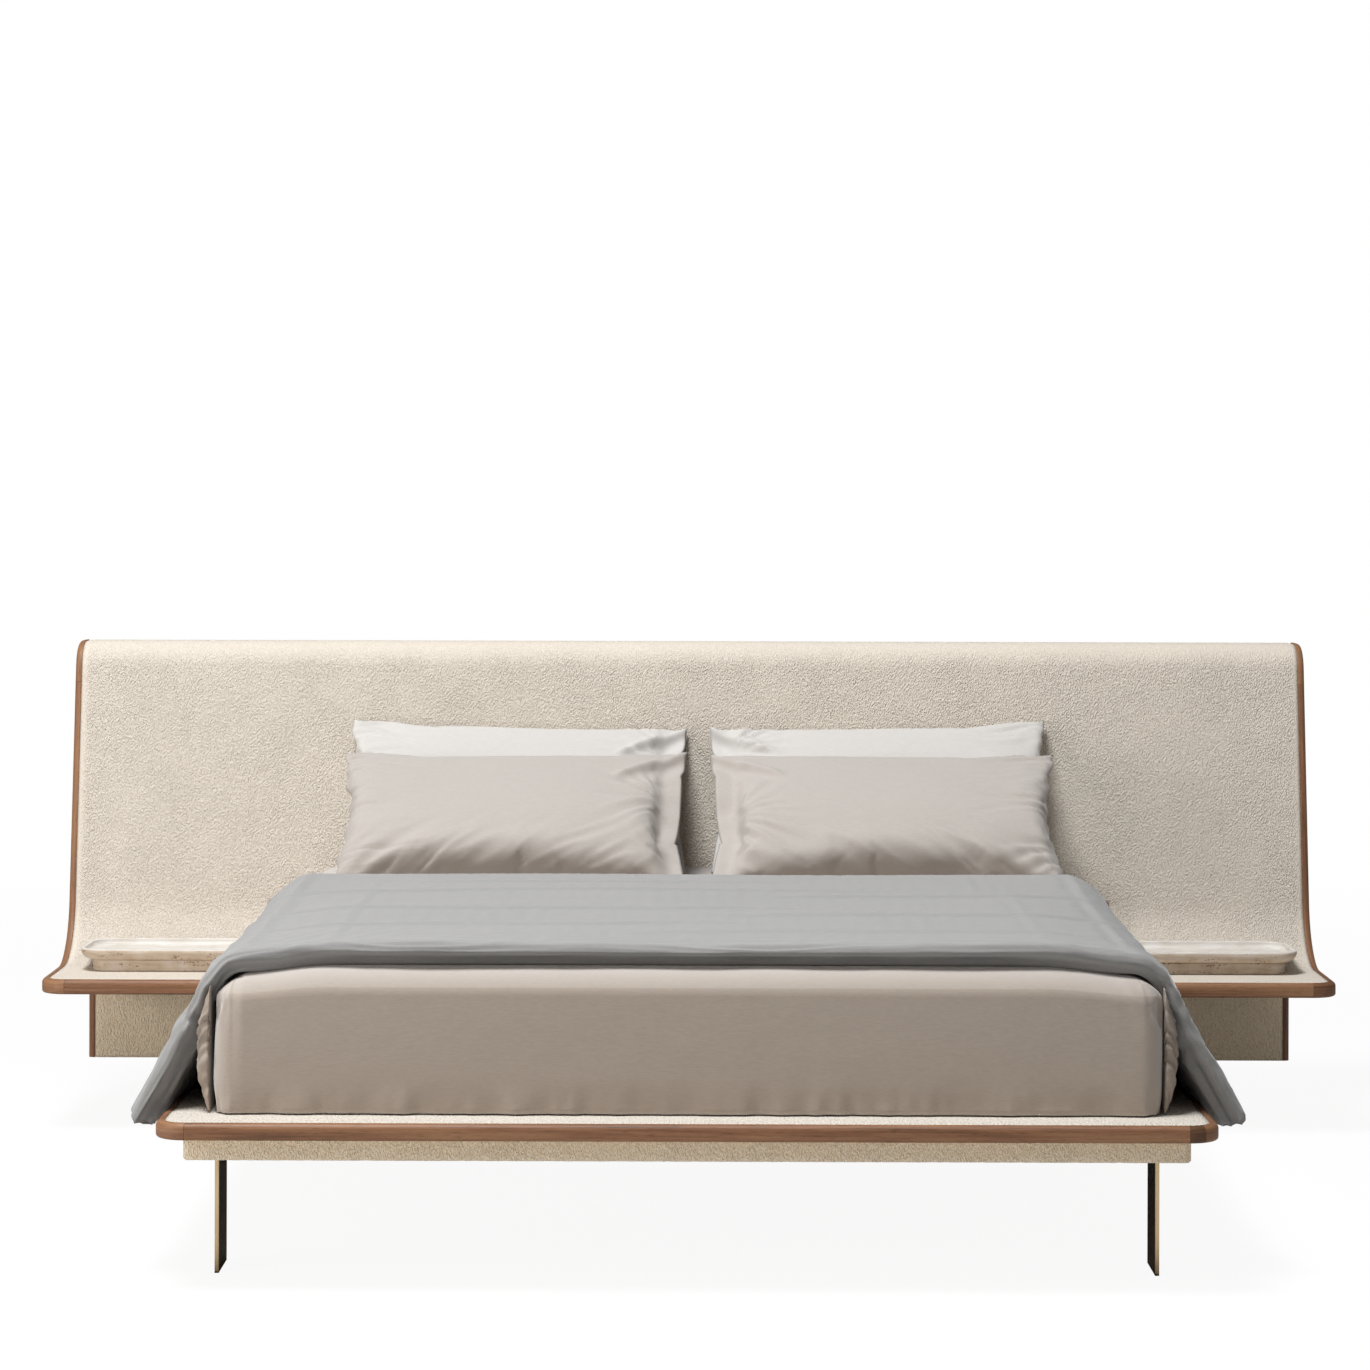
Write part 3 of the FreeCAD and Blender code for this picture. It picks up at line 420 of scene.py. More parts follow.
def boardAt(s):
    # place and outward direction, in Y and Z, at a distance along the board's face from its lip
    b = boardShape
    coveY = b["lipY"] + b["shelfRun"]
    if s <= b["shelfRun"]:
        return b["lipY"] + s, b["shelfZ"], 0.0, 1.0
    turn = min(s - b["shelfRun"], b["coveRadius"] * coveTurn) / b["coveRadius"]
    y, z = coveY + b["coveRadius"] * math.sin(turn), b["shelfZ"] + b["coveRadius"] * (1 - math.cos(turn))
    if s <= coveEnd:
        return y, z, -math.sin(turn), math.cos(turn)
    run = min(s, leanEnd) - coveEnd
    y, z = y + run * math.sin(b["lean"]), z + run * math.cos(b["lean"])
    ny, nz = -math.cos(b["lean"]), math.sin(b["lean"])
    if s <= leanEnd:
        return y, z, ny, nz
    middleY, middleZ = y - b["rollRadius"] * ny, z - b["rollRadius"] * nz
    turn = b["lean"] + (min(s, rollEnd) - leanEnd) / b["rollRadius"]
    ny, nz = -math.cos(turn), math.sin(turn)
    past = max(0.0, s - rollEnd)
    return middleY + b["rollRadius"] * ny + past, middleZ + b["rollRadius"] * nz, ny, nz


def boardUpholstery():
    b = boardShape
    half, inner, first, tight = b["halfWidth"], b["wingInner"], b["setback"], []

    def faceAt(x, s):
        if s < coveEnd - 1e-6 and abs(x) < inner - 1e-6:
            return None
        px, ps, edge = roundCorner(abs(x), s, half, first, b["corner"])
        if edge is None:
            edge = min(half - px, boardEnd - ps)
            if s < coveEnd:
                edge = min(edge, ps - first, px - inner)
            elif px < inner:
                edge = min(edge, ps - coveEnd)
        near = ease(edge / b["edgeRun"])
        rise = b["curlRise"] * curlHeight(x, s, b["curlSize"]) * near - b["edgeDrop"] * (1 - near)
        shelf, shelfStart, shelfRun = b["tightShelf"]
        roll, rollRun = b["tightRoll"]
        tight.append(max(1 - ease(edge / b["tightEdge"]), shelf * (1 - ease((s - shelfStart) / shelfRun)),
                         roll * ease((s - leanEnd) / rollRun)))
        y, z, ny, nz = boardAt(ps)
        return math.copysign(px, x), y + ny * rise, z + nz * rise

    rows = spread(first, coveEnd, b["grid"]) + spread(coveEnd, boardEnd, b["grid"])[1:]
    points, faces = holedGrid(rows, mirrored(inner, half, b["grid"]), faceAt)
    piece = makePiece("boardUpholstery", points, faces, boucle)
    piece.data.attributes.new("tight", "FLOAT", "POINT").data.foreach_set("value", tight)
    return piece


board = thicken(boardUpholstery(), boardShape["padDepth"])
settle(board, "bed", "boucle", "headboard_pad", "wing_pad_left", "wing_pad_right")
print("headboard covered")

panelShape = {"half": 1.457, "low": 0.110, "high": 0.700, "faceY": 1.035, "grid": 0.010, "depth": 0.0035,
              "curlRise": 0.0009, "curlSize": 0.022, "curlLevel": 0.3, "edgeRun": 0.012, "edgeDrop": 0.0016}
deckShape = {"half": 0.984, "inner": 0.834, "front": -1.149, "innerFront": -0.999, "back": 1.030, "top": 0.320,
             "corner": 0.044, "grid": 0.010, "depth": 0.0052, "edgeDrop": 0.0026, "edgeRun": 0.012,
             "curlRise": 0.0003, "curlSize": 0.026, "curlLevel": 0.5}
apronShape = {"round": 0.005, "step": 0.008, "curlRise": 0.0010, "curlSize": 0.018, "inset": 0.0004}


def napRise(shape, x, y, edge):
    # loops over the face, drawn down along its edge
    near = ease(edge / shape["edgeRun"])
    curl = curlHeight(x, y, shape["curlSize"]) - shape["curlLevel"]
    return shape["curlRise"] * curl * near - shape["edgeDrop"] * (1 - near)


def panelUpholstery():
    p = panelShape
    columns, rows = spread(-p["half"], p["half"], p["grid"]), spread(p["low"], p["high"], p["grid"])
    points = []
    for z in rows:
        for x in columns:
            edge = min(p["half"] - abs(x), z - p["low"], p["high"] - z)
            points.append((x, p["faceY"] - napRise(p, x, z + 3, edge), z))
    return makePiece("panelUpholstery", points, gridFaces(len(rows), len(columns)), litBaseBoucle)


def deckUpholstery():
    d = deckShape

    def topAt(x, y):
        if y > d["innerFront"] + 1e-6 and abs(x) < d["inner"] - 1e-6:
            return None
        px, py, edge = roundCorner(abs(x), y, d["half"], d["front"], d["corner"])
        if edge is None:
            edge = min(d["half"] - px, py - d["front"], d["back"] - py)
        return math.copysign(px, x), py, d["top"] + napRise(d, x, y, edge)

    rows = spread(d["front"], d["innerFront"], d["grid"]) + spread(d["innerFront"], d["back"], d["grid"])[1:]
    points, faces = holedGrid(rows, mirrored(d["inner"], d["half"], d["grid"]), topAt)
    # the deck's top takes the darker bouclé, painted shade
    return makePiece("deckUpholstery", points, faces, shadedDeckBoucle)


def apronWrap(label, alongX):
    # cloth wrapped round a rail: loops of the rail's section, one after another, with a closed end each
    a, node = apronShape, f"apron_{label}"
    low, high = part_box(node)
    start, end = (low.x, high.x) if alongX else (low.y, high.y)
    near, far = (low.y, high.y) if alongX else (low.x, high.x)
    middle = ((near + far) / 2, (low.z + high.z) / 2)
    flat = [half - a["inset"] - a["round"] for half in ((far - near) / 2, (high.z - low.z) / 2)]
    section = []
    for at, (sx, sz, angle) in enumerate(quarterTurns):
        for turn in (0, 30, 60, 90):
            t = math.radians(angle + turn)
            section.append((sx * flat[0] + a["round"] * math.cos(t), sz * flat[1] + a["round"] * math.sin(t),
                            math.cos(t), math.sin(t)))
        nx, nz, _ = quarterTurns[(at + 1) % 4]
        runX, runZ = (nx - sx) * flat[0], (nz - sz) * flat[1]
        count = round(math.hypot(runX, runZ) / a["step"])
        o, z, dx, dz = section[-1]
        section += [(o + runX * i / count, z + runZ * i / count, dx, dz) for i in range(1, count)]
    runs = spread(start + a["inset"], end - a["inset"], a["step"])
    stations = [(runs[0], a["round"]), (runs[0] + a["round"], 0), *((r, 0) for r in runs[2:-2]),
                (runs[-1] - a["round"], 0), (runs[-1], a["round"])]
    points = []
    for run, pull in stations:
        for k, (o, z, dx, dz) in enumerate(section):
            rise = a["curlRise"] * (curlHeight(run, k * a["step"] + middle[1] * 9, a["curlSize"]) - 0.5) - pull
            p = (middle[0] + o + dx * rise, middle[1] + z + dz * rise)
            points.append((run, p[0], p[1]) if alongX else (p[0], run, p[1]))
    faces = tubeFaces(len(stations), len(section))
    piece = turnOutward(makePiece(f"apronWrap{label.capitalize()}", points, faces, litBaseBoucle))
    settle(piece, "bed", "boucle", node)


settle(thicken(panelUpholstery(), panelShape["depth"]), "bed", "boucle", "panel_front_cover")
settle(thicken(deckUpholstery(), deckShape["depth"]), "bed", "deck_fabric", "deck_pad_front", "deck_side_pads")
for label in ("front", "left", "right"):
    apronWrap(label, label == "front")
print("panel, deck and aprons covered")


def openTree(name, first, inputs, result):
    tree = bpy.data.node_groups.new(name, "GeometryNodeTree")
    tree.interface.new_socket(first, in_out="INPUT", socket_type="NodeSocketGeometry")
    sockets = {label: tree.interface.new_socket(label, in_out="INPUT", socket_type="NodeSocket" + kind).identifier
               for label, kind in inputs.items()}
    tree.interface.new_socket(result, in_out="OUTPUT", socket_type="NodeSocketGeometry")
    return tree, sockets, addNode(tree, "NodeGroupInput").outputs


def endTree(tree, geometry, finish, result):
    whole = addNode(tree, "GeometryNodeRealizeInstances", {"Geometry": geometry})
    finished = addNode(tree, "GeometryNodeSetMaterial", {"Geometry": whole.outputs[0], "Material": finish})
    addNode(tree, "NodeGroupOutput", {result: finished.outputs[0]})


def edgingTree():
    # sweeps a rounded strip along each path; the path's points carry the strip's outward direction
    inputs = dict.fromkeys(("Width", "Thickness", "Top Round", "Under Round", "Inner Ease"), "Float")
    tree, sockets, given = openTree("edgingSweep", "Path", {**inputs, "Wood": "Material"}, "Strip")
    curve = addNode(tree, "GeometryNodeMeshToCurve", {"Mesh": given["Path"]})
    outward = addNode(tree, "GeometryNodeInputNamedAttribute", {"Name": "outward"}, data_type="FLOAT_VECTOR")
    turned = addNode(tree, "GeometryNodeSetCurveNormal", {"Curve": curve.outputs[0], "Normal": outward.outputs[0]},
                     mode="FREE")
    run = addNode(tree, "GeometryNodeSplineParameter")
    marked = addNode(tree, "GeometryNodeStoreNamedAttribute",
                     {"Geometry": turned.outputs[0], "Name": "grainAlong", "Value": run.outputs["Length"]},
                     data_type="FLOAT", domain="POINT")
    section = addNode(tree, "GeometryNodeCurvePrimitiveQuadrilateral",
                      {"Width": given["Width"], "Height": given["Thickness"]}, mode="RECTANGLE")
    corner = addNode(tree, "GeometryNodeInputIndex").outputs[0]
    radius = given["Inner Ease"]
    for index, label in ((3, "Under Round"), (0, "Top Round")):
        here = addNode(tree, "FunctionNodeCompare", {2: corner, 3: index}, data_type="INT", operation="EQUAL")
        radius = addNode(tree, "GeometryNodeSwitch", {0: here.outputs[0], 1: radius, 2: given[label]},
                         input_type="FLOAT").outputs[0]
    rounded = addNode(tree, "GeometryNodeFilletCurve",
                      {"Curve": section.outputs[0], "Radius": radius, "Count": 6, "Limit Radius": True}, mode="POLY")
    spot = addNode(tree, "GeometryNodeInputPosition")
    known = addNode(tree, "GeometryNodeStoreNamedAttribute",
                    {"Geometry": rounded.outputs[0], "Name": "grainCross", "Value": spot.outputs[0]},
                    data_type="FLOAT_VECTOR", domain="POINT")
    swept = addNode(tree, "GeometryNodeCurveToMesh",
                    {"Curve": marked.outputs[0], "Profile Curve": known.outputs[0], "Fill Caps": True})
    endTree(tree, swept.outputs[0], given["Wood"], "Strip")
    return tree, sockets


def growMesh(name, mesh, tree, sockets, values):
    # runs a node tree on a mesh and keeps its result as a plain mesh
    piece = bpy.data.objects.new(name, mesh)
    modifier = piece.modifiers.new(tree.name, "NODES")
    modifier.node_group = tree
    for label, value in values.items():
        modifier[sockets[label]] = value
    scene.collection.objects.link(piece)
    grown = bakedMesh(piece)
    piece.modifiers.clear()
    piece.data = grown
    grown.name = name
    return piece


edgeTree, edgeSockets = edgingTree()
edgeShape = {"Width": 0.016, "Top Round": 0.0115, "Under Round": 0.0060, "Inner Ease": 0.0012}
boardEdge, deckEdge, panelEdge = 0.034, 0.032, 0.040
jointGap = 0.0003  # each strip stops this short of its joints, so they show as hairlines


def edgingPiece(name, thickness, runs, tones, replaced):
    points, outs, edges, tone = [], [], [], []
    for run, level in zip(runs, tones):
        spots = [Vector(p) - Vector(up) * thickness / 2 + Vector(out) * edgeShape["Width"] / 2 for p, out, up in run]
        ways = [Vector(out) for _, out, _ in run]
        for end, beside in ((0, 1), (-1, -2)):
            spots[end] = spots[end] + (spots[beside] - spots[end]).normalized() * jointGap
        if (spots[1] - spots[0]).cross(ways[0]).dot(Vector(run[0][2])) < 0:
            spots.reverse()
            ways.reverse()
        edges += [(len(points) + i, len(points) + i + 1) for i in range(len(spots) - 1)]
        points += spots
        outs += ways
        tone += [level] * len(spots)
    mesh = bpy.data.meshes.new(name + "Path")
    mesh.from_pydata([tuple(p) for p in points], edges, [])
    mesh.attributes.new("outward", "FLOAT_VECTOR", "POINT").data.foreach_set("vector", [c for o in outs for c in o])
    mesh.attributes.new("tone", "FLOAT", "POINT").data.foreach_set("value", tone)
    piece = growMesh(name, mesh, edgeTree, edgeSockets, {**edgeShape, "Thickness": thickness, "Wood": edgeOak})
    smooth(piece.data)
    piece.data.set_sharp_from_angle(angle=math.radians(40))
    settle(piece, "bed", "edge_wood", replaced)


def lineRun(start, end, out, up):
    return [(start, out, up), (tuple((Vector(start) + Vector(end)) / 2), out, up), (end, out, up)]


def cornerRun(side, centreX, centreY, radius, z):
    # quarter turn from facing the foot end to facing one side
    run = []
    for step in range(16):
        turn = math.radians(6 * step)
        out = (side * math.sin(turn), -math.cos(turn), 0)
        run.append(((side * centreX + radius * out[0], centreY + radius * out[1], z), out, (0, 0, 1)))
    return run


def boardRun(x, out, first, last):
    run = []
    for s in spread(first, last, 0.011):
        y, z, ny, nz = boardAt(s)
        run.append(((x, y, z), (out, 0, 0), (0, ny, nz)))
    return run


b, d, p = boardShape, deckShape, panelShape
lipCornerX, lipCornerY = b["halfWidth"] - b["corner"], b["lipY"] + b["setback"] + b["corner"]
deckCornerX, deckCornerY = d["half"] - d["corner"], d["front"] + d["corner"]
foot, up = (0, -1, 0), (0, 0, 1)
innerRuns, lipCornerRuns, panelRuns, deckCornerRuns = [], [], [], []
for side, label in ((-1, "left"), (1, "right")):
    lipY, edgeX = b["lipY"] + edgeShape["Width"], side * b["halfWidth"]
    deckX, panelX = side * d["half"], side * p["half"]
    # each strip's run and its tones on the left and on the right
    strips = {
        "lip": (boardEdge, lineRun((side * b["lipStart"], lipY, b["shelfZ"]), (side * lipCornerX, lipY, b["shelfZ"]),
                                   foot, up), (0.2, 0.5)),
        "side": (boardEdge, boardRun(edgeX, side, b["setback"] + b["corner"], jointRun), (0.6, 0.1)),
        "top": (boardEdge, boardRun(edgeX, side, jointRun, boardEnd), (0.9, 0.9)),
        "deck": (deckEdge, lineRun((deckX, deckCornerY, d["top"]), (deckX, d["back"], d["top"]), (side, 0, 0), up),
                 (0.35, 0.35)),
    }
    for strip, (thickness, run, tones) in strips.items():
        edgingPiece(f"{strip}Strip{label.capitalize()}", thickness, [run], [tones[side > 0]], f"{strip}_strip_{label}")
    innerRuns.append(boardRun(side * b["wingInner"], -side, b["setback"], coveEnd))
    lipCornerRuns.append(cornerRun(side, lipCornerX, lipCornerY, b["corner"], b["shelfZ"]))
    turn = cornerRun(side, deckCornerX, deckCornerY, d["corner"], d["top"])
    deckCornerRuns += [turn] if side < 0 else [turn[:6], turn[5:]]  # a darker block starts the right one
    panelRuns.append(lineRun((panelX, p["faceY"], p["low"]), (panelX, p["faceY"], p["high"]), (side, 0, 0), foot))
edgingPiece("innerStrips", boardEdge, innerRuns, [0.4, 0.4], "inner_strips")
edgingPiece("lipCorners", boardEdge, lipCornerRuns, [0.7, -0.2], "lip_corners")
edgingPiece("deckCorners", deckEdge, deckCornerRuns, [0.8, -1.3, 0.1], "deck_corners")
edgingPiece("panelEdges", panelEdge, panelRuns, [0.1, -0.3], "panel_edges")
frontRun = lineRun((-deckCornerX, d["front"], d["top"]), (deckCornerX, d["front"], d["top"]), foot, up)
edgingPiece("deckStripFront", deckEdge, [frontRun], [0.3], "deck_strip_front")
print("wood edging swept")

legShape = {"ease": 0.0009, "halfBlade": 0.004, "flange": 0.006}


def addBox(work, low, high):
    for vert in bmesh.ops.create_cube(work, size=1.0)["verts"]:
        vert.co = Vector(low[k] if vert.co[k] < 0 else high[k] for k in range(3))


def legBlade(label):
    # one bronze plate painted two ways, near-black sides as painted shade and a bright brass front edge as a painted
    # lit face, welded to its screw flange
    low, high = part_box(f"leg_front_{label}")
    middle, half, under = (low.x + high.x) / 2, legShape["halfBlade"], high.z - legShape["flange"]
    work = bmesh.new()
    addBox(work, (middle - half, low.y, low.z), (middle + half, high.y, under))
    addBox(work, (low.x, low.y, under), high)
    bmesh.ops.bevel(work, geom=work.edges[:], offset=legShape["ease"], segments=2, affect="EDGES")
    for face in work.faces:
        # front-facing faces below the flange take the painted lit brass, all others the painted-shade bronze
        face.material_index = 1 if abs(face.normal.y) > 0.6 and face.calc_center_median().z < under else 0
    piece = workPiece(f"legBlade{label.capitalize()}", work, darkBronze, litBrassEdge)
    settle(piece, "bed", "bronze", f"leg_front_{label}")


for label in ("left", "right"):
    legBlade(label)


def repeatPart(name, part, places, finish):
    # sets one part on every point of a mesh
    tree, sockets, given = openTree(name + "Row", "Places", {"Part": "Object", "Finish": "Material"}, "Row")
    shape = addNode(tree, "GeometryNodeObjectInfo", {"Object": given["Part"]})
    spots = addNode(tree, "GeometryNodeMeshToPoints", {"Mesh": given["Places"]})
    placed = addNode(tree, "GeometryNodeInstanceOnPoints", {"Points": spots.outputs[0],
                                                            "Instance": shape.outputs["Geometry"]})
    endTree(tree, placed.outputs[0], given["Finish"], "Row")
    mesh = bpy.data.meshes.new(name + "Places")
    mesh.from_pydata(places, [], [])
    piece = growMesh(name, mesh, tree, sockets, {"Part": part, "Finish": finish})
    bpy.data.objects.remove(part)
    return piece


slatShape = {"count": 14, "width": 0.080, "thickness": 0.0176, "round": 0.004, "under": 0.3022}


def slatPart(length):
    s = slatShape
    work = bmesh.new()
    addBox(work, (-length / 2, -s["width"] / 2, 0), (length / 2, s["width"] / 2, s["thickness"]))
    long = [e for e in work.edges if abs(e.verts[0].co.x - e.verts[1].co.x) > s["width"]]
    bmesh.ops.bevel(work, geom=long, offset=s["round"], segments=3, affect="EDGES")
    return workPiece("slatPart", work)


slatLow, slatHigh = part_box("slats")
slatStart, slatStop = slatLow.y + slatShape["width"] / 2, slatHigh.y - slatShape["width"] / 2
slatPlaces = [(0, slatStart + (slatStop - slatStart) * i / (slatShape["count"] - 1), slatShape["under"])
              for i in range(slatShape["count"])]
slatRow = repeatPart("slatRow", slatPart(slatHigh.x - slatLow.x), slatPlaces, beech)
settle(slatRow, "bed", "beech_slat", "slats")

screwShape = {"head": 0.0054, "headHeight": 0.003, "shank": 0.0029, "reach": 0.0235, "across": 0.011, "along": 0.045,
              "sides": 16}


def screwPart():
    # pan head, its shank hidden in flange and board
    s, sides = screwShape, screwShape["sides"]
    profile = [(s["head"] * 0.55, -s["headHeight"]), (s["head"] * 0.9, -s["headHeight"] * 0.72),
               (s["head"], -s["headHeight"] * 0.25), (s["head"], 0), (s["shank"], 0), (s["shank"], s["reach"])]
    points = [(r * math.cos(2 * math.pi * k / sides), r * math.sin(2 * math.pi * k / sides), z)
              for r, z in profile for k in range(sides)]
    return makePiece("screwPart", points, tubeFaces(len(profile), sides), zincSteel)


screwPlaces = []
legPlaces = [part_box("leg_front_left"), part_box("leg_front_right")]
rearLow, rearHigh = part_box("rear_legs")
rearWidth = legPlaces[0][1].x - legPlaces[0][0].x
legPlaces += [(rearLow, Vector((rearLow.x + rearWidth, rearHigh.y, rearHigh.z))),
              (Vector((rearHigh.x - rearWidth, rearLow.y, rearLow.z)), rearHigh)]
for low, high in legPlaces:
    middle = (low + high) / 2
    screwPlaces += [(middle.x + sx * screwShape["across"], middle.y + sy * screwShape["along"],
                     high.z - legShape["flange"]) for sx in (-1, 1) for sy in (-1, 1)]
settle(repeatPart("legScrewSet", screwPart(), screwPlaces, zincSteel), "bed", "zinc_steel", "leg_screws")
print("legs, slats and screws placed")

trayShape = {"corner": 0.060, "rim": 0.010, "rimRound": 0.0030, "base": 0.055, "flare": 0.027, "flareRise": 0.022,
             "recess": 0.014, "recessRound": 0.010, "floor": (0.034, 0.052), "chip": 0.0004, "counts": (22, 46),
             "sawnRings": 12}
footShape = {"corner": 0.038, "round": 0.0045, "base": 0.030, "top": (0.010, 0.030), "chip": 0.0009, "counts": (8, 44)}


def roundedLoop(middle, halfX, halfY, radius, counts):
    # plan loop of a rounded rectangle, with the same number of points for any inset of one shape
    loop = []
    for sx, sy, angle in quarterTurns:
        for turn in range(0, 91, 6):
            t = math.radians(angle + turn)
            loop.append((middle[0] + sx * (halfX - radius) + radius * math.cos(t),
                         middle[1] + sy * (halfY - radius) + radius * math.sin(t)))
    full = []
    for k, (x, y) in enumerate(loop):
        full.append((x, y))
        nx, ny = loop[(k + 1) % len(loop)]
        if (k + 1) % 16 == 0:
            count = counts[k // 16 % 2]
            full += [(x + (nx - x) * i / count, y + (ny - y) * i / count) for i in range(1, count)]
    return full


def stonePiece(name, node, shape, profile, seed, sawnRings):
    # rings of one plan shape, each with its own inset and height, then a flat floor and a flat base;
    # the stone is sawn below and at the sides, honed from the rim inwards
    low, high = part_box(node)
    middle, half, points = (low + high) / 2, (high - low) / 2, []
    for inset, z in profile:
        radius = max(shape["corner"] - inset, 0.004)
        loop = roundedLoop(middle, half.x - inset, half.y - inset, radius, shape["counts"])
        for x, y in loop:
            worn = ripple(x * 90 + seed, y * 90, z * 110) * shape["chip"]
            towards = Vector((x - middle.x, y - middle.y)).normalized()
            points.append((x + towards.x * worn, y + towards.y * worn, z + worn * 0.4))
    piece = turnOutward(makePiece(name, points, tubeFaces(len(profile), len(loop)), travertine, sawnStone))
    for face in piece.data.polygons:
        face.material_index = 1 if face.index < sawnRings * len(loop) or face.normal.z < -0.5 else 0
    return piece


def arcProfile(inset, z, spanInset, spanZ, angles):
    return [(inset + spanInset * math.cos(math.radians(a)), z + spanZ * math.sin(math.radians(a))) for a in angles]


for label, bowlSeed, footSeed in (("left", 3, 5), ("right", 11, 17)):
    t, f, title = trayShape, footShape, label.capitalize()
    low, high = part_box(f"tray_bowl_{label}")
    edge, deep, floor = t["rimRound"], t["recessRound"], high.z - t["recess"]
    # convex underside, rolled rim, then down into the recess
    profile = [(t["base"], low.z), (t["flare"] + 0.003, low.z)]
    profile += arcProfile(t["flare"], low.z + t["flareRise"], -t["flare"], t["flareRise"], range(270, 361, 10))
    profile += arcProfile(edge, high.z - edge, -edge, edge, (15, 40, 65, 90))
    profile += arcProfile(t["rim"] - edge, high.z - edge, edge, edge, (90, 60, 30, 0))
    profile += arcProfile(t["rim"] + deep, floor + deep, -deep, -deep, (0, 20, 40, 60, 75, 90))
    profile += [(inset, floor) for inset in t["floor"]]
    bowl = stonePiece(f"trayBowl{title}", f"tray_bowl_{label}", t, profile, bowlSeed, t["sawnRings"])
    settle(bowl, f"tray_bowl_{label}", "travertine", f"tray_bowl_{label}")
    low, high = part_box(f"tray_foot_{label}")
    edge = f["round"]
    profile = [(f["base"], low.z), (edge + 0.001, low.z)]
    profile += arcProfile(edge, low.z + edge, -edge, edge, (270, 292.5, 315, 337.5, 360))
    profile += [(0, low.z + (high.z - low.z) * k) for k in (0.35, 0.5, 0.65, 0.8)]
    profile += arcProfile(edge / 2, high.z - edge / 2, -edge / 2, edge / 2, (0, 30, 60, 90))
    profile += [(inset, high.z) for inset in f["top"]]
    stand = stonePiece(f"trayFoot{title}", f"tray_foot_{label}", f, profile, footSeed, len(profile))
    settle(stand, "bed", "travertine", f"tray_foot_{label}")
print("stone trays cut")

mattressShape = {"half": 0.902, "front": -1.067, "back": 0.937, "low": 0.3215, "hem": 0.3235, "top": 0.5965,
                 "corner": 0.042, "edge": 0.069, "rim": 0.039, "cloth": 0.0016, "bulge": 0.0022,
                 "puckerRise": 0.0110, "puckerReach": 0.034, "core": 0.0150, "piping": 0.010, "crown": 0.085,
                 "droop": 0.017, "droopStart": 0.68, "droopRun": 0.22, "dart": 0.006, "lean": 0.010,
                 "pockets": ((0.852, 0.562, 0.847, 0.530, 0.0080), (-0.878, 0.560, -0.960, 0.280, 0.0060))}


def edgeDroop(x, y):
    # the bed sinks towards its sides at the foot end
    m = mattressShape
    return m["droop"] * ease((abs(x) - m["droopStart"]) / m["droopRun"]) * ease((0.2 - y) / 0.6)


def sheetSlack(x, y, z, run, low, top, pull):
    # how far the fitted sheet stands off the mattress, with puckers at its hem
    m = mattressShape
    fold = ripple(run * 15, 1.7, z * 6) * 0.7 + ripple(run * 40, 4.2, z * 9) * 0.5
    out = m["puckerRise"] * (fold - 0.35) * bell((z - low) / m["puckerReach"])
    out += 0.0014 * ripple(x * 2.3, y * 2.3, z * 5) * max(0, 1 - pull / m["edge"])
    if y < m["front"] + 0.03:
        for atX, atZ, wayX, wayZ, depth in m["pockets"]:  # a fold slants across each front corner
            past = (x - atX) * wayX + (z - atZ) * wayZ
            out -= depth * ease(past / 0.010) * bell((z - 0.53) / 0.06) if x * atX > 0 else 0
    if x < -m["half"] + 0.05:
        out -= m["lean"] * ease((z - low) / (top - low)) * ease((-0.6 - y) / 0.3)
    # darts pulled in at the top corners
    atCorner = bell(math.hypot(abs(x) - m["half"] + 0.03, y - m["front"] - 0.03) / 0.075)
    atCorner *= bell((z - top + m["rim"]) / 0.045)
    return out + m["dart"] * atCorner * ripple(run * 34 + z * 20, z * 18, 7.0)


def bedCover(name, finish, inset, low, isCore):
    # upright sides from the hem, a rolled top edge, then a flat top
    m = mattressShape
    top, middle, halfY = m["top"] - inset, (0, (m["front"] + m["back"]) / 2), (m["back"] - m["front"]) / 2
    stations = [(0.0, low + (top - m["rim"] - low) * k / 22) for k in range(23)]
    pull, z = stations[-1]
    turns = [0, 10, 20, 30, 38, 44, 50, 56, 62, 68, 74, 80, 85, 90]
    for before, after in zip(turns, turns[1:]):  # tight turn at the piped edge, then the slow crown of the top
        radius = m["piping"] if after <= 38 else m["crown"]
        pull += radius * (math.cos(math.radians(before)) - math.cos(math.radians(after)))
        z += radius * (math.sin(math.radians(after)) - math.sin(math.radians(before)))
        stations.append((pull, z))
    stations += [(pull + further, z) for further in (0.020, 0.050, 0.085, 0.120, 0.155, 0.190, 0.225)]
    if isCore:
        stations = [(0.03, low), (0.012, low)] + stations
    points = []
    for pull, z in stations:
        inward, share = inset + pull, (z - low) / (top - low)
        loop = roundedLoop(middle, m["half"] - inward, halfY - inward, max(m["corner"] - pull, 0.012), (190, 170))
        for i, (x, y) in enumerate(loop):
            before, after = loop[i - 1], loop[(i + 1) % len(loop)]
            away = Vector((after[1] - before[1], before[0] - after[0])).normalized()
            out = m["bulge"] * math.sin(math.pi * min(share, 1.0)) if pull == 0 else 0
            if not isCore:
                out += sheetSlack(x, y, z, i * 0.011, low, top, pull)
            points.append((x + away.x * out, y + away.y * out, z - share * edgeDroop(x, y)))
    ringSize = len(loop)
    work = bmesh.new()
    verts = [work.verts.new(p) for p in points]
    for face in gridFaces(len(stations), ringSize, closed=True):
        work.faces.new([verts[i] for i in face])
    for ring in [verts[-ringSize:]] + ([verts[:ringSize]] if isCore else []):
        sides = [work.edges.get((ring[i - 1], ring[i])) for i in range(ringSize)]
        bmesh.ops.triangle_fill(work, edges=sides, use_beauty=True)
    bmesh.ops.recalc_face_normals(work, faces=work.faces)
    highest = max(work.faces, key=lambda face: face.calc_center_median().z)
    if highest.normal.z < 0:
        bmesh.ops.reverse_faces(work, faces=work.faces)
    piece = workPiece(name, work, finish)
    smooth(piece.data)
    return piece


